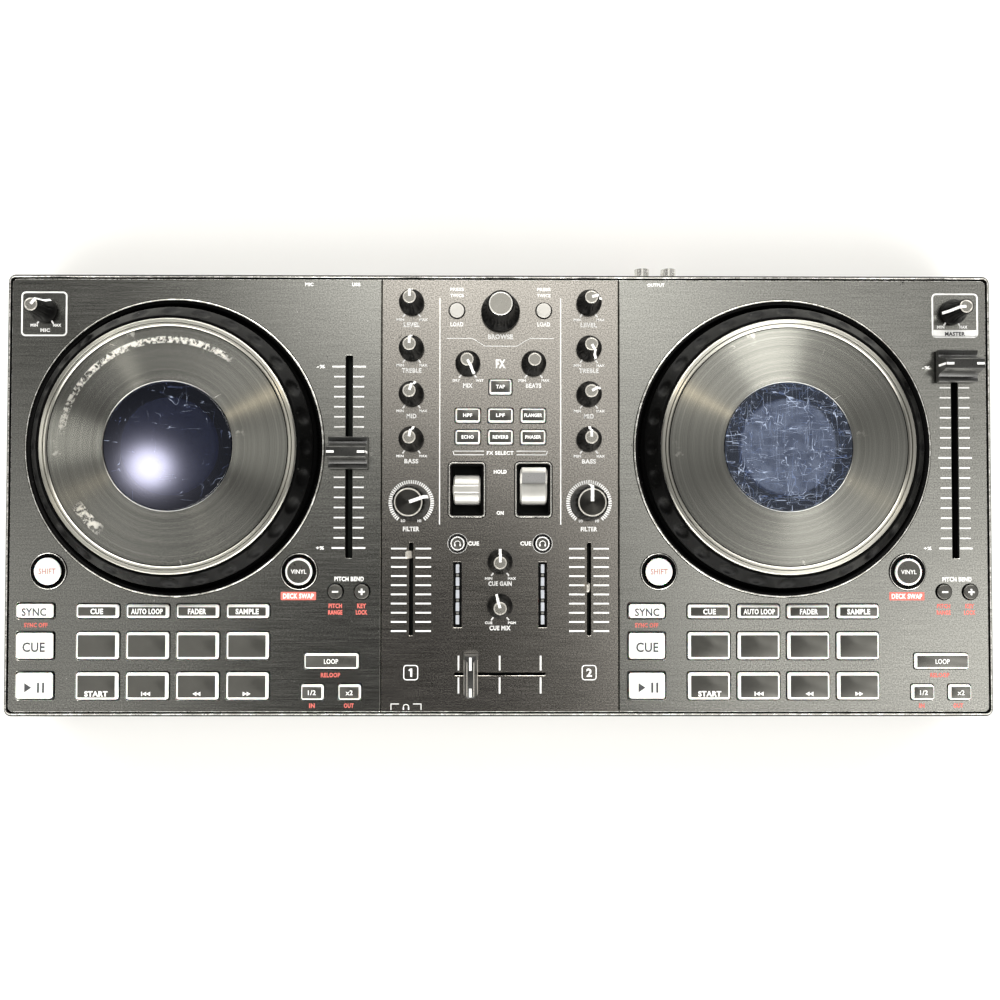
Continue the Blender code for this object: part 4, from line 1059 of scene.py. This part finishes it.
def headphones(bm, x, y, scale, low, high, paint):
    """A headphone sign: a band over two pads."""
    steps, outer, inner = 10, 2.1 * scale, 1.65 * scale
    for k in range(steps):
        a0, a1 = (math.pi * 1.1 * j / steps - math.pi * 0.05 for j in (k, k + 1))
        corners = [(outer, a0), (outer, a1), (inner, a1), (inner, a0)]
        tile(bm, [(x + r * math.cos(a), y + r * math.sin(a) - 0.2 * scale) for r, a in corners],
             low, high, paint)
    for sign in (-1, 1):
        bar(bm, x + sign * 1.75 * scale, y - 1.05 * scale, 0.9 * scale, 1.6 * scale, low, high, paint)


# ------------------------------------------------------------------ faders

def make_pitch_cap(side):
    node = f"{side}_pitch_fader"
    half, end, _ = size(node) / 2
    edge = [
        (end, 4.0), (end - 0.5, 4.7), (end - 1.4, 4.75), (end - 2.8, 4.2), (end - 4.0, 5.0),
        (end - 5.0, 7.4), (3.1, 11.0), (2.4, 12.0), (1.2, 12.1),
    ]
    section = [(-end, 1.2), (end, 1.2), *edge, *[(-y, z) for y, z in edge[::-1]]]
    bm = bmesh.new()
    loft(bm, [
        [(x, y * (1 - draw * 0.04), z - (draw * 0.5 if z > 2 else 0.0)) for y, z in section]
        for x, draw in ((-half, 0.5), (-half + 0.5, 0.0), (half - 0.5, 0.0), (half, 0.5))
    ])
    for sign in (-1, 1):
        rings = []
        for inset, z, out, up in (
            (4.4, 12.08, 0.0, 0.04), (0.5, 12.08, 0.0, 0.04),
            (-0.02, 11.75, 0.03, 0.0), (-0.05, 4.4, 0.03, 0.0),
        ):
            x, outer = sign * (half - inset), sign * (half - inset + out)
            rings.append([(x, -0.6, z), (x, 0.6, z), (outer, 0.6, z + up), (outer, -0.6, z + up)])
        loft(bm, rings, 1)
    bar(bm, 0.0, 0.0, 1.6, 8.0, level(node), 1.3)
    piece(f"{node}_cap", bm, "fader white", node, (*middle(node).xy, 0.0), node, 40.0)


def make_crossfader():
    node = "crossfader"
    half = size(node).y / 2
    bm = bmesh.new()
    rings = []
    for y, flare in ((-half, 0.6), (-half + 0.6, 0.0), (half - 3.0, 0.0), (half - 1.9, 1.0), (half, 1.0)):
        drop = 0.5 if abs(y) == half else 0.0
        edge = ((3.7 + flare * 0.3, 1.2), (3.4 + flare * 0.4, 3.0), (2.0 + flare, 6.5),
                (2.0 + flare, 10.0 - drop), (1.5 + flare, 10.75 - drop))
        rings.append([(x, y, z) for x, z in edge] + [(-x, y, z) for x, z in edge[::-1]])
    loft(bm, rings)
    for y0, y1 in ((half - 0.6, half - 7.5), (-half + 0.6, -half + 5.1)):
        bar(bm, 0.0, (y0 + y1) / 2, 1.3, abs(y0 - y1), 10.74, 10.79, 1)
    for sign in (-1, 1):
        # Painted highlight: thin rods of light metal along the cap's upper and lower edges, for the light
        # lines its edges catch
        for x, z, start, radius in ((1.75, 10.35, 0.8, 0.28), (3.5, 2.2, 0.4, 0.25)):
            rod(bm, sign * x, z, -half + start, half - 3.2, radius, 12, 0.0, 2)
    bar(bm, 0.0, 0.0, 4.0, 1.0, level(node), 1.3)
    piece("crossfader_cap", bm, "fader white cap_edge", node,
          (*middle(node).xy, 0.0), node, 40.0)


def make_lever(side, sign):
    """The bare, leaning steel lever of a channel fader."""
    node = f"{side}_channel_fader"
    foot, crown = level(node), level(node, 1)
    lean = size(node).x - 1.1
    bm = bmesh.new()
    rings = []
    for z, draw in ((foot, 0.0), (0.0, 0.0), (crown - 0.9, 0.0), (crown - 0.3, 0.25), (crown, 0.6)):
        x, wide = -lean * max(z, 0.0) / crown, 2.0 - draw
        rings.append([(x - 0.5, -wide, z), (x + 0.5, -wide, z), (x + 0.5, wide, z), (x - 0.5, wide, z)])
    loft(bm, rings)
    bmesh.ops.recalc_face_normals(bm, faces=bm.faces)
    sharp = [edge for edge in bm.edges if edge.calc_face_angle(0.0) > math.radians(35.0)]
    bmesh.ops.bevel(bm, geom=sharp, offset=0.12, segments=2, affect="EDGES", clamp_overlap=True)
    piece(f"{node}_lever", bm, "cap_edge", node, (sign * STRIP_X, middle(node).y, 0.0), node)


def make_slot_lips():
    """Dark dust lips in each fader slot, with a narrow way for the stem; their black also stands in for the
    shade deep in the slots as painted shade.
    """
    bm = bmesh.new()
    heights = (DECK_UNDER, DECK_UNDER + 0.4)
    slots = [(sign * STRIP_X, CHANNEL_Y, *CHANNEL_SLOT, 0.75) for side, sign in SIDES]
    slots += [(*on_deck(side, [PITCH_CELL])[0], 1.05) for side, sign in SIDES]
    for x, y, width, depth, way in slots:
        lip = width / 2 + 0.5 - way
        for sign in (-1, 1):
            bar(bm, x + sign * (way + lip / 2), y, lip, depth + 1.0, *heights)
    for sign in (-1, 1):
        bar(bm, 0.0, CROSS_Y + sign, CROSS_SLOT[0] + 1.0, 0.7, *heights)
    piece("fader_dust_lips", bm, "deck")


# ------------------------------------------------------------------ effect paddles

def make_paddle(side, sign, turned):
    node = f"{side}_fx_paddle"
    x, y = sign * PADDLE_SPOT[0], PADDLE_SPOT[1]
    drum, reach, half_blade, tip, steps, axle = 8.2, 15.2, 2.8, 2.1, 40, -5.0
    start = math.asin(half_blade / drum)
    turns = [start + (math.tau - 2 * start) * k / steps for k in range(steps + 1)]
    section = [(drum * math.sin(angle), drum * math.cos(angle)) for angle in turns]
    section += [(-tip, reach - 0.5), (-tip + 0.6, reach), (tip - 0.6, reach), (tip, reach - 0.5)]
    cos, sin = math.cos(turned), math.sin(turned)
    section = [(out * cos + up * sin, up * cos - out * sin) for out, up in section]
    half = size(node).x / 2
    bm = bmesh.new()
    loft(bm, [
        [(at, out * draw, up * draw) for out, up in section]
        for at, draw in ((-half, 0.86), (-half + 0.9, 1.0), (half - 0.9, 1.0), (half, 0.86))
    ])
    # Painted shade: the blade's broad flank gets the dark fader plastic, darker because of the dark room it
    # faces
    bm.normal_update()
    for face in bm.faces:
        spot = face.calc_center_median()
        along = abs(face.normal.y * cos - face.normal.z * sin)
        if spot.z * cos + spot.y * sin > drum - 0.6 and along > 0.95:
            face.material_index = 1
    piece(f"{side}_paddle", bm, "paddle fader", node, (x, y, axle), node, 28.0)

    bm = bmesh.new()
    opening = slab(x, y, *PADDLE_OPENING, 0.5)
    for finish, section in (
        (0, ((2.3, 0.02), (2.3, 0.3), (1.85, 0.42), (1.75, 0.3), (1.75, 0.02))),
        (1, ((1.7, 0.02), (1.7, 0.6), (1.55, 0.75), (1.1, 0.75), (1.0, 0.6), (1.0, 0.02))),
        (0, ((0.95, 0.02), (0.95, 0.5), (-0.3, -1.0), (-0.3, -6.0), (-0.05, -6.0), (-0.05, 0.02))),
    ):
        hoop(bm, [at_height(opening, grow, z) for grow, z in section], finish)
    piece(f"{side}_paddle_bezel", bm, "black chrome")


# ------------------------------------------------------------------ meters and sockets

METER_SEGMENTS = ((-37.6, -42.3), (-44.6, -49.2), (-51.4, -56.0), (-58.2, -62.9), (-65.0, -70.0))


def make_meter(side, sign):
    x = sign * METER_X
    floor = -0.75
    bm = bmesh.new()
    rise(bm, slab(x, METER_Y, METER_SIZE[0] - 0.2, METER_SIZE[1] - 0.2, 0.4),
         ((0.0, DECK_TOP + 0.05), (0.0, floor)))
    for y0, y1 in METER_SEGMENTS:
        rise(bm, slab(x, (y0 + y1) / 2, 1.9, y0 - y1, 0.3), ((0.0, floor), (0.0, -0.5), (-0.1, -0.42)), 1)
    for (_, y0), (y1, _) in zip(METER_SEGMENTS, METER_SEGMENTS[1:]):
        rise(bm, slab(x, (y0 + y1) / 2, 1.5, (y0 - y1) * 0.5, 0.2), ((0.0, floor), (0.0, -0.6)), 2)
    piece(f"{side}_level_meter", bm, "black lens dim_lens", "case")


def make_sockets():
    """Plated line sockets, jack sleeves and the lining of the computer socket."""
    back = CASE.y / 2
    inside = back - WALL - 0.3
    z = SOCKET_Z
    bm = bmesh.new()
    rise(bm, slab(sum(RCA_X) / 2, inside - 8.5, 30.0, 17.0, 0.8),
         ((0.0, z - 6.5), (0.0, z + 6.0), (-0.5, z + 6.5)))
    for x, insulator in zip(RCA_X, (2, 3)):
        for start, end, *shape in (
            (inside - 0.5, back + 0.9, 4.15, 40, 3.6, insulator),
            (back + 0.9, back + JACK_STICKOUT, 4.1, 48, 3.45, 1),
            (inside - 1.0, back + JACK_STICKOUT - 0.6, 3.4, 40, 1.7, insulator),
            (inside - 1.0, back + 1.0, 1.65, 24, 1.3, 4),
        ):
            rod(bm, x, z, start, end, *shape)
    piece("line_sockets", bm, "black chrome red_plastic white_plastic brass", "case",
          node="rca_jacks")

    bm = bmesh.new()
    for x, way, bore in ((MIC_X, 1, 3.3), (PHONES_X, -1, 3.3), (EARPHONES_X, -1, 1.85)):
        rod(bm, x, z, way * (back - 4.1), way * (back - 0.1), bore - 0.03, 40, bore - 0.5)
    piece("jack_rings", bm, "chrome", "case")

    bm = bmesh.new()
    x, wide, high = USB_X, *USB_MOUTH
    rise(bm, slab(x, back - 5.0, 5.4, 7.6, 0.3), ((0.0, z - 1.4), (0.0, z + 1.4)))
    for sign in (-1, 1):
        contact, wall = z + sign * 1.45, z + sign * (high / 2 - 0.18)
        for column in (-1.2, 1.2):
            bar(bm, x + column, back - 5.0, 1.0, 6.4, contact - 0.05, contact + 0.05, 1)
        bar(bm, x + sign * (wide / 2 - 0.18), back - 4.6, 0.3, 9.0, z - high / 2 + 0.4, z + high / 2 - 0.4, 2)
        bar(bm, x, back - 4.6, wide - 0.1, 9.0, wall - 0.15, wall + 0.15, 2)
    piece("computer_socket_lining", bm, "white_plastic brass steel", "case")


# ------------------------------------------------------------------ print

def frame_line(bm, outline, width):
    """A printed line round an outline."""
    hoop(bm, [at_height(outline, grow, z) for grow, z in (
        (width, PRINT_LOW), (0.0, PRINT_LOW), (0.0, PRINT_HIGH), (width, PRINT_HIGH),
    )])


def print_deck(bm, red, side):
    """The marks of one deck."""
    shift = deck_shift(side)
    pitch_foot = PITCH_TOP - PITCH_STEP * (PITCH_TICKS - 1)
    for k in range(PITCH_TICKS):
        bold = k in (0, (PITCH_TICKS - 1) // 2, PITCH_TICKS - 1)
        reach, thick = (9.1, 0.95) if bold else (8.1, 0.75)
        for sign in (-1, 1):
            bar(bm, PITCH_CELL[0] + shift + sign * (reach + 2.2) / 2, PITCH_TOP - PITCH_STEP * k,
                reach - 2.2, thick)
    write_rows(bm, (("-%", 231.8, PITCH_TOP, 4.4, 1.9), ("+%", 231.8, pitch_foot, 4.4, 1.9),
                    ("PITCH BEND", 247.6, -45.5, 15.9, 2.5)), shift)
    red_height = 2.5
    write_rows(red, [(*row, red_height) for row in (
        ("PITCH", 240.2, -60.0, 7.2), ("RANGE", 240.2, -63.5, 7.6), ("KEY", 254.4, -60.0, 4.8),
        ("LOCK", 254.4, -63.5, 6.2), ("RELOOP", 237.8, -97.2, 10.4), ("IN", 227.9, -113.6, 3.0),
        ("OUT", 247.7, -113.6, 5.3), ("SYNC OFF", 79.2, -70.4, 12.6),
    )], shift)
    swap_x, swap_y = 220.3 + shift, -54.7
    rise(red, slab(swap_x, swap_y, 19.0, 4.4, 0.4), ((0.0, PRINT_LOW), (0.0, PRINT_HIGH)))
    write(bm, "DECK SWAP", swap_x, swap_y, 16.6, 2.8, PRINT_HIGH, PRINT_HIGH + INK)


def print_knob(bm, node, label, width, ends=("MIN", "MAX")):
    """End marks and a name under a small knob."""
    x, y, _ = middle(node)
    for sign in (-1, 1):
        bar(bm, x + sign * 4.2, y - 6.9, 0.8, 1.9, turned=sign * math.radians(38))
    write_rows(bm, ((ends[0], x - 6.2, y - 9.1, 4.0, 1.4), (ends[1], x + 6.4, y - 9.1, 4.4, 1.4),
                    (label, x, y - 11.9, width, 2.5)))


def print_strip(bm, side, sign):
    """The marks of one mixer channel."""
    for kind, wide in (("level", 8.8), ("treble", 10.6), ("mid", 5.4), ("bass", 7.6)):
        print_knob(bm, f"{side}_{kind}_knob", kind.upper(), wide)
    x, y = sign * STRIP_X, middle(f"{side}_filter_knob").y
    ticks, reach = 47, 11.3
    for k in range(ticks):
        angle = math.radians(-50.0 + 280.0 * k / (ticks - 1))
        bar(bm, x + reach * math.cos(angle), y + reach * math.sin(angle), 2.0, 0.78, turned=angle)
    write_rows(bm, (("LO", x - 4.4, y - 9.8, 2.2, 1.5), ("HI", x + 4.4, y - 9.8, 2.0, 1.5),
                    ("FILTER", x, y - 14.2, 8.9, 2.5)))
    for k in range(10):
        for way in (-1, 1):
            bar(bm, x + way * 6.6, -29.1 - 4.94 * k, 8.4, 0.85)
    number_y = -95.9
    if side == "right":
        write(bm, "2", x, number_y, 3.0, 4.4, weight=0.03)
    else:
        bar(bm, x + 0.25, number_y, 1.0, 4.4)
        bar(bm, x - 0.55, number_y + 1.45, 1.3, 0.8, turned=math.radians(38))
    frame_line(bm, slab(x, number_y, 7.0, 7.2, 1.2), 0.5)
    bar(bm, sign * 32.8, 45.4, 0.6, 123.0)
    load_x = sign * LOAD_BUTTONS[1][0]
    write_rows(bm, (("LOAD", load_x, 92.7, 7.0, 2.4), ("PRESS", load_x, 111.8, 7.4, 1.8),
                    ("TWICE", load_x, 108.4, 7.4, 1.8)))
    for y in (23.7, 21.7):
        bar(bm, sign * (8.8 + 25.0) / 2, y, 16.2, 0.4)
    bar(bm, sign * 25.3, 22.7, 0.4, 2.2, turned=sign * math.radians(-20))


def print_mixer(bm):
    """The marks between the two channels."""
    write_rows(bm, (
        ("BROWSE", 0.1, 85.9, 13.6, 2.7), ("FX", 0.2, 71.2, 5.2, 4.8), ("FX SELECT", 0.0, 22.7, 14.6, 2.1),
        ("HOLD", 0.0, 12.5, 7.0, 2.1), ("ON", 0.0, -9.8, 3.8, 2.1), ("CUE", -14.4, -26.3, 6.0, 2.3),
        ("CUE", 13.9, -26.3, 6.0, 2.3),
    ))
    print_knob(bm, "dry_wet_knob", "MIX", 5.2, ("DRY", "WET"))
    print_knob(bm, "beats_knob", "BEATS", 8.4)
    print_knob(bm, "cue_gain_knob", "CUE GAIN", 12.6)
    print_knob(bm, "cue_mix_knob", "CUE MIX", 11.4, ("CUE", "PGM"))
    for spot in CUE_BUTTONS:
        frame_line(bm, disc(*spot, 5.2, 40), 0.2)
    for x in (-22.4, -0.2, 21.9):
        for y0, y1 in ((-86.8, CROSS_Y + 1.9), (CROSS_Y - 1.9, -107.1)):
            bar(bm, x, (y0 + y1) / 2, 0.9, y0 - y1)
    curve = ((-29.0, 85.0), (-15.0, 85.0), (-8.5, 80.8), (9.0, 80.8), (16.0, 85.0), (29.0, 85.0))
    for (x0, y0), (x1, y1) in zip(curve, curve[1:]):
        bar(bm, (x0 + x1) / 2, (y0 + y1) / 2, math.hypot(x1 - x0, y1 - y0) + 0.1, 0.35,
            turned=math.atan2(y1 - y0, x1 - x0))
    sign_x, sign_y = -50.6, -114.3
    headphones(bm, sign_x, sign_y, 0.8, PRINT_LOW, PRINT_HIGH, 0)
    for sign in (-1, 1):
        bar(bm, sign_x + sign * 6.0, sign_y + 1.6, 4.4, 0.4)
        bar(bm, sign_x + sign * 8.1, sign_y, 0.4, 3.2)


def make_print():
    white, red, ink = bmesh.new(), bmesh.new(), bmesh.new()
    for side, sign in SIDES:
        print_deck(white, red, side)
        print_strip(white, side, sign)
    print_mixer(white)
    frame_line(white, slab(-247.2, 97.9, 23.2, 22.6, 1.6), 0.85)
    frame_line(white, slab(247.75, 98.0, 23.6, 22.6, 1.6), 0.85)
    bar(white, 247.75, 88.3, 23.4, 3.6)
    for node in ("mic_knob", "master_knob"):
        x, y, _ = middle(node)
        for sign in (-1, 1):
            bar(white, x + sign * 3.9, y - 6.2, 0.8, 1.9, turned=sign * math.radians(32))
        write_rows(white, (("MIN", x - 6.0, 91.7, 4.0, 1.6), ("MAX", x + 6.4, 91.7, 4.4, 1.6)))
    write_rows(white, (
        ("MIC", -246.6, 89.0, 5.2, 2.0), ("MIC", MIC_X, 114.3, 4.4, 1.9), ("USB", USB_X, 114.3, 4.6, 1.9),
        ("OUTPUT", 84.7, 114.3, 9.4, 1.9),
    ))
    write(ink, "MASTER", 247.75, 88.0, 11.0, 2.2, PRINT_HIGH, PRINT_HIGH + INK)
    piece("white_print", white, "white")
    piece("red_print", red, "red")
    piece("dark_print", ink, "ink")


# ------------------------------------------------------------------ underside

def make_underside():
    """Finer feet and the screws that hold the tray."""
    for node in ("front_left_foot", "front_right_foot", "rear_left_foot", "rear_right_foot"):
        foot, top = level(node), level(node, 1)
        bm = bmesh.new()
        turn(bm, (
            (0.0, top), (9.0, top), (9.0, foot + 1.2), (8.6, foot + 0.4), (8.0, foot), (6.4, foot),
            (6.0, foot + 0.5), (5.4, foot + 0.5), (5.0, foot), (0.0, foot),
        ))
        piece(f"{node}_pad", bm, "foot", "case", (*middle(node).xy, 0.0), node)
    tray = level("bottom_case")
    screw = [(r, tray - drop) for r, drop in ((0.0, 0.02), (2.6, 0.02), (2.8, 0.25), (2.3, 0.7), (0.0, 0.85))]
    bm = bmesh.new()
    for x in (-250.0, -125.0, 0.0, 125.0, 250.0):
        for y in (-108.0, 108.0):
            turn(bm, screw, 24, (x, y))
            for angle in (0.0, math.pi / 2):
                bar(bm, x, y, 3.0, 0.6, tray - 0.9, tray - 0.8, 1, angle + 0.4)
    piece("tray_screws", bm, "steel black")


def paint_node(node, finish):
    """Gives a CAD node that stays in view its finish."""
    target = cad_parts[node]
    if not target.data.materials:
        target.data.materials.append(FINISH[finish])
    for slot in target.material_slots:
        slot.material = FINISH[finish]


# ------------------------------------------------------------------ room, light and camera

LENS = 32.58
CAMERA_SPOT = (-0.0029, -0.0164, 0.5240)
CAMERA_TURN = (1.182, -0.330, 0.055)


def make_camera():
    data = bpy.data.cameras.new("camera")
    data.lens = LENS
    data.sensor_width = 36.0
    data.clip_start = 0.01
    made = bpy.data.objects.new("camera", data)
    made.location = CAMERA_SPOT
    made.rotation_euler = [math.radians(angle) for angle in CAMERA_TURN]
    scene.collection.objects.link(made)
    scene.camera = made


def make_floor():
    bm = bmesh.new()
    bar(bm, 0.0, 0.0, 8000.0, 8000.0, -20.0, 0.0)
    floor = solid("floor", bm)
    made, tree, shader = paint("floor_paper", (0.86, 0.86, 0.85), 0.9)
    shade = mix_colour(tree, noise(tree, place(tree), 3.0, 3.0), (0.84, 0.84, 0.83, 1), (0.88, 0.88, 0.87, 1))
    tree.links.new(shade, shader.inputs["Base Color"])
    floor.data.materials.append(made)


# Lamps that show only in the turned platters and in the left window: name, place, aim, width,
# power, colour and the pieces that it lights
RIGHT_DECK, LEFT_DECK, MIDDLE = (190.0, 4.0, 0.0), (-190.0, 4.0, 0.0), (0.0, 0.0, 0.0)
DAY = (1.0, 0.99, 0.93)
LAMPS = (
    ("ceiling_lamp", (-8.0, 376.0, 1000.0), MIDDLE, 8.0, 0.6, (1.0, 0.84, 0.58),
     ("left_platter_plate", "right_platter_plate")),
    ("right_back_lamp", (400.0, 530.0, 1000.0), RIGHT_DECK, 320.0, 2.3, DAY, ("right_platter_plate",)),
    ("left_side_lamp", (-1408.0, 189.0, 1040.0), LEFT_DECK, 380.0, 3.2, DAY, ("left_platter_plate",)),
    ("left_back_lamp", (-840.0, 590.0, 1000.0), LEFT_DECK, 120.0, 0.45, (1.0, 0.97, 0.88),
     ("left_platter_plate",)),
    ("side_lamp", (-562.5, 70.0, 1000.0), LEFT_DECK, 60.0, 0.75, (0.86, 0.84, 1.0), ("left_window_disc",)),
)


def make_lamps():
    for name, spot, target, width, power, colour, pieces in LAMPS:
        data = bpy.data.lights.new(name, "AREA")
        data.shape = "DISK"
        data.size = width * MM
        data.energy = power
        data.color = colour
        made = bpy.data.objects.new(name, data)
        made.location = (PANEL + Vector(spot)) * MM
        made.rotation_euler = (Vector(target) - Vector(spot)).to_track_quat("-Z", "Y").to_euler()
        scene.collection.objects.link(made)
        lit = bpy.data.collections.new(name + "_receivers")
        for lit_piece in pieces:
            lit.objects.link(bpy.data.objects[lit_piece])
        made.light_linking.receiver_collection = lit


# Soft areas of the room overhead: middle and spread as slopes from straight up, and added light
SKY_BASE = 0.36
SKY_RIM = 10.5
SKY_AREAS = (
    ((-0.03, 0.38), (0.20, 0.18), 1.85),
    ((0.22, 0.26), (0.14, 0.16), 0.5),
    ((0.08, 0.10), (0.10, 0.08), 0.25),
    ((0.70, -0.20), (0.30, 0.26), 1.25),
    ((0.23, -0.10), (0.12, 0.14), 0.62),
    ((-0.66, -0.14), (0.24, 0.22), 0.16),
    ((-0.06, -0.23), (0.16, 0.18), -2.3),
    ((-0.48, 0.30), (0.20, 0.20), -0.45),
    ((0.45, -0.98), (0.30, 0.30), 6.0),
)


def make_sky():
    scene.world = bpy.data.worlds.new("studio")
    scene.world.use_nodes = True
    tree = scene.world.node_tree
    ray = add_node(tree, "TexCoord").outputs["Generated"]
    height = most(tree, add_node(tree, "SeparateXYZ", {0: ray}).outputs["Z"], 0.02)
    slope = add_node(tree, "VectorMath", {0: ray, 3: maths(tree, "DIVIDE", 1.0, height)},
                     operation="SCALE").outputs[0]
    slope = vector(tree, "MULTIPLY", slope, (1.0, 1.0, 0.0))
    reach = vector(tree, "LENGTH", slope)
    north = add_node(tree, "SeparateXYZ", {0: slope}).outputs["Y"]
    along = maths(tree, "DIVIDE", maths(tree, "ABSOLUTE", north), most(tree, reach, 0.01))
    rim = spread(tree, along, 0.3, 0.85, SKY_BASE * 0.8, SKY_RIM)
    rim = times(tree, rim, spread(tree, reach, 5.0, 10.0, 1.0, 0.4))
    low_down = spread(tree, reach, 1.45, 2.2)
    total = maths(tree, "ADD", times(tree, low_down, rim),
                  times(tree, maths(tree, "SUBTRACT", 1.0, low_down), SKY_BASE))
    for centre, (wide, deep), gain in SKY_AREAS:
        off = vector(tree, "SUBTRACT", slope, (*centre, 0.0))
        off = vector(tree, "MULTIPLY", off, (1 / wide, 1 / deep, 1.0))
        fall = maths(tree, "EXPONENT", times(tree, vector(tree, "DOT_PRODUCT", off, off), -1.0))
        total = maths(tree, "ADD", times(tree, fall, gain), total)
    back = tree.nodes["Background"]
    back.inputs["Color"].default_value = (1.0, 0.985, 0.95, 1.0)
    tree.links.new(most(tree, total, 0.02), back.inputs["Strength"])


# ------------------------------------------------------------------ build

scene.view_settings.view_transform = "Standard"
make_camera()
make_floor()
make_panels()
make_case()
make_knobs()
for deck, way in SIDES:
    make_collar(deck)
    make_jog(deck)
    make_pads(deck)
    make_transport(deck)
    make_loops(deck)
    make_round_buttons(deck)
    make_pitch_cap(deck)
    make_lever(deck, way)
    make_meter(deck, way)
make_mixer_keys()
make_crossfader()
make_slot_lips()
make_paddle("left", -1, 0.0)
make_paddle("right", 1, math.radians(45.0))
make_sockets()
make_print()
make_underside()
for shown, finish in (
    ("bottom_case", "case"), ("main_circuit_board", "board"), ("mic_jack", "case"), ("usb_socket", "case"),
    ("headphone_jacks", "case"),
):
    paint_node(shown, finish)
make_sky()
make_lamps()
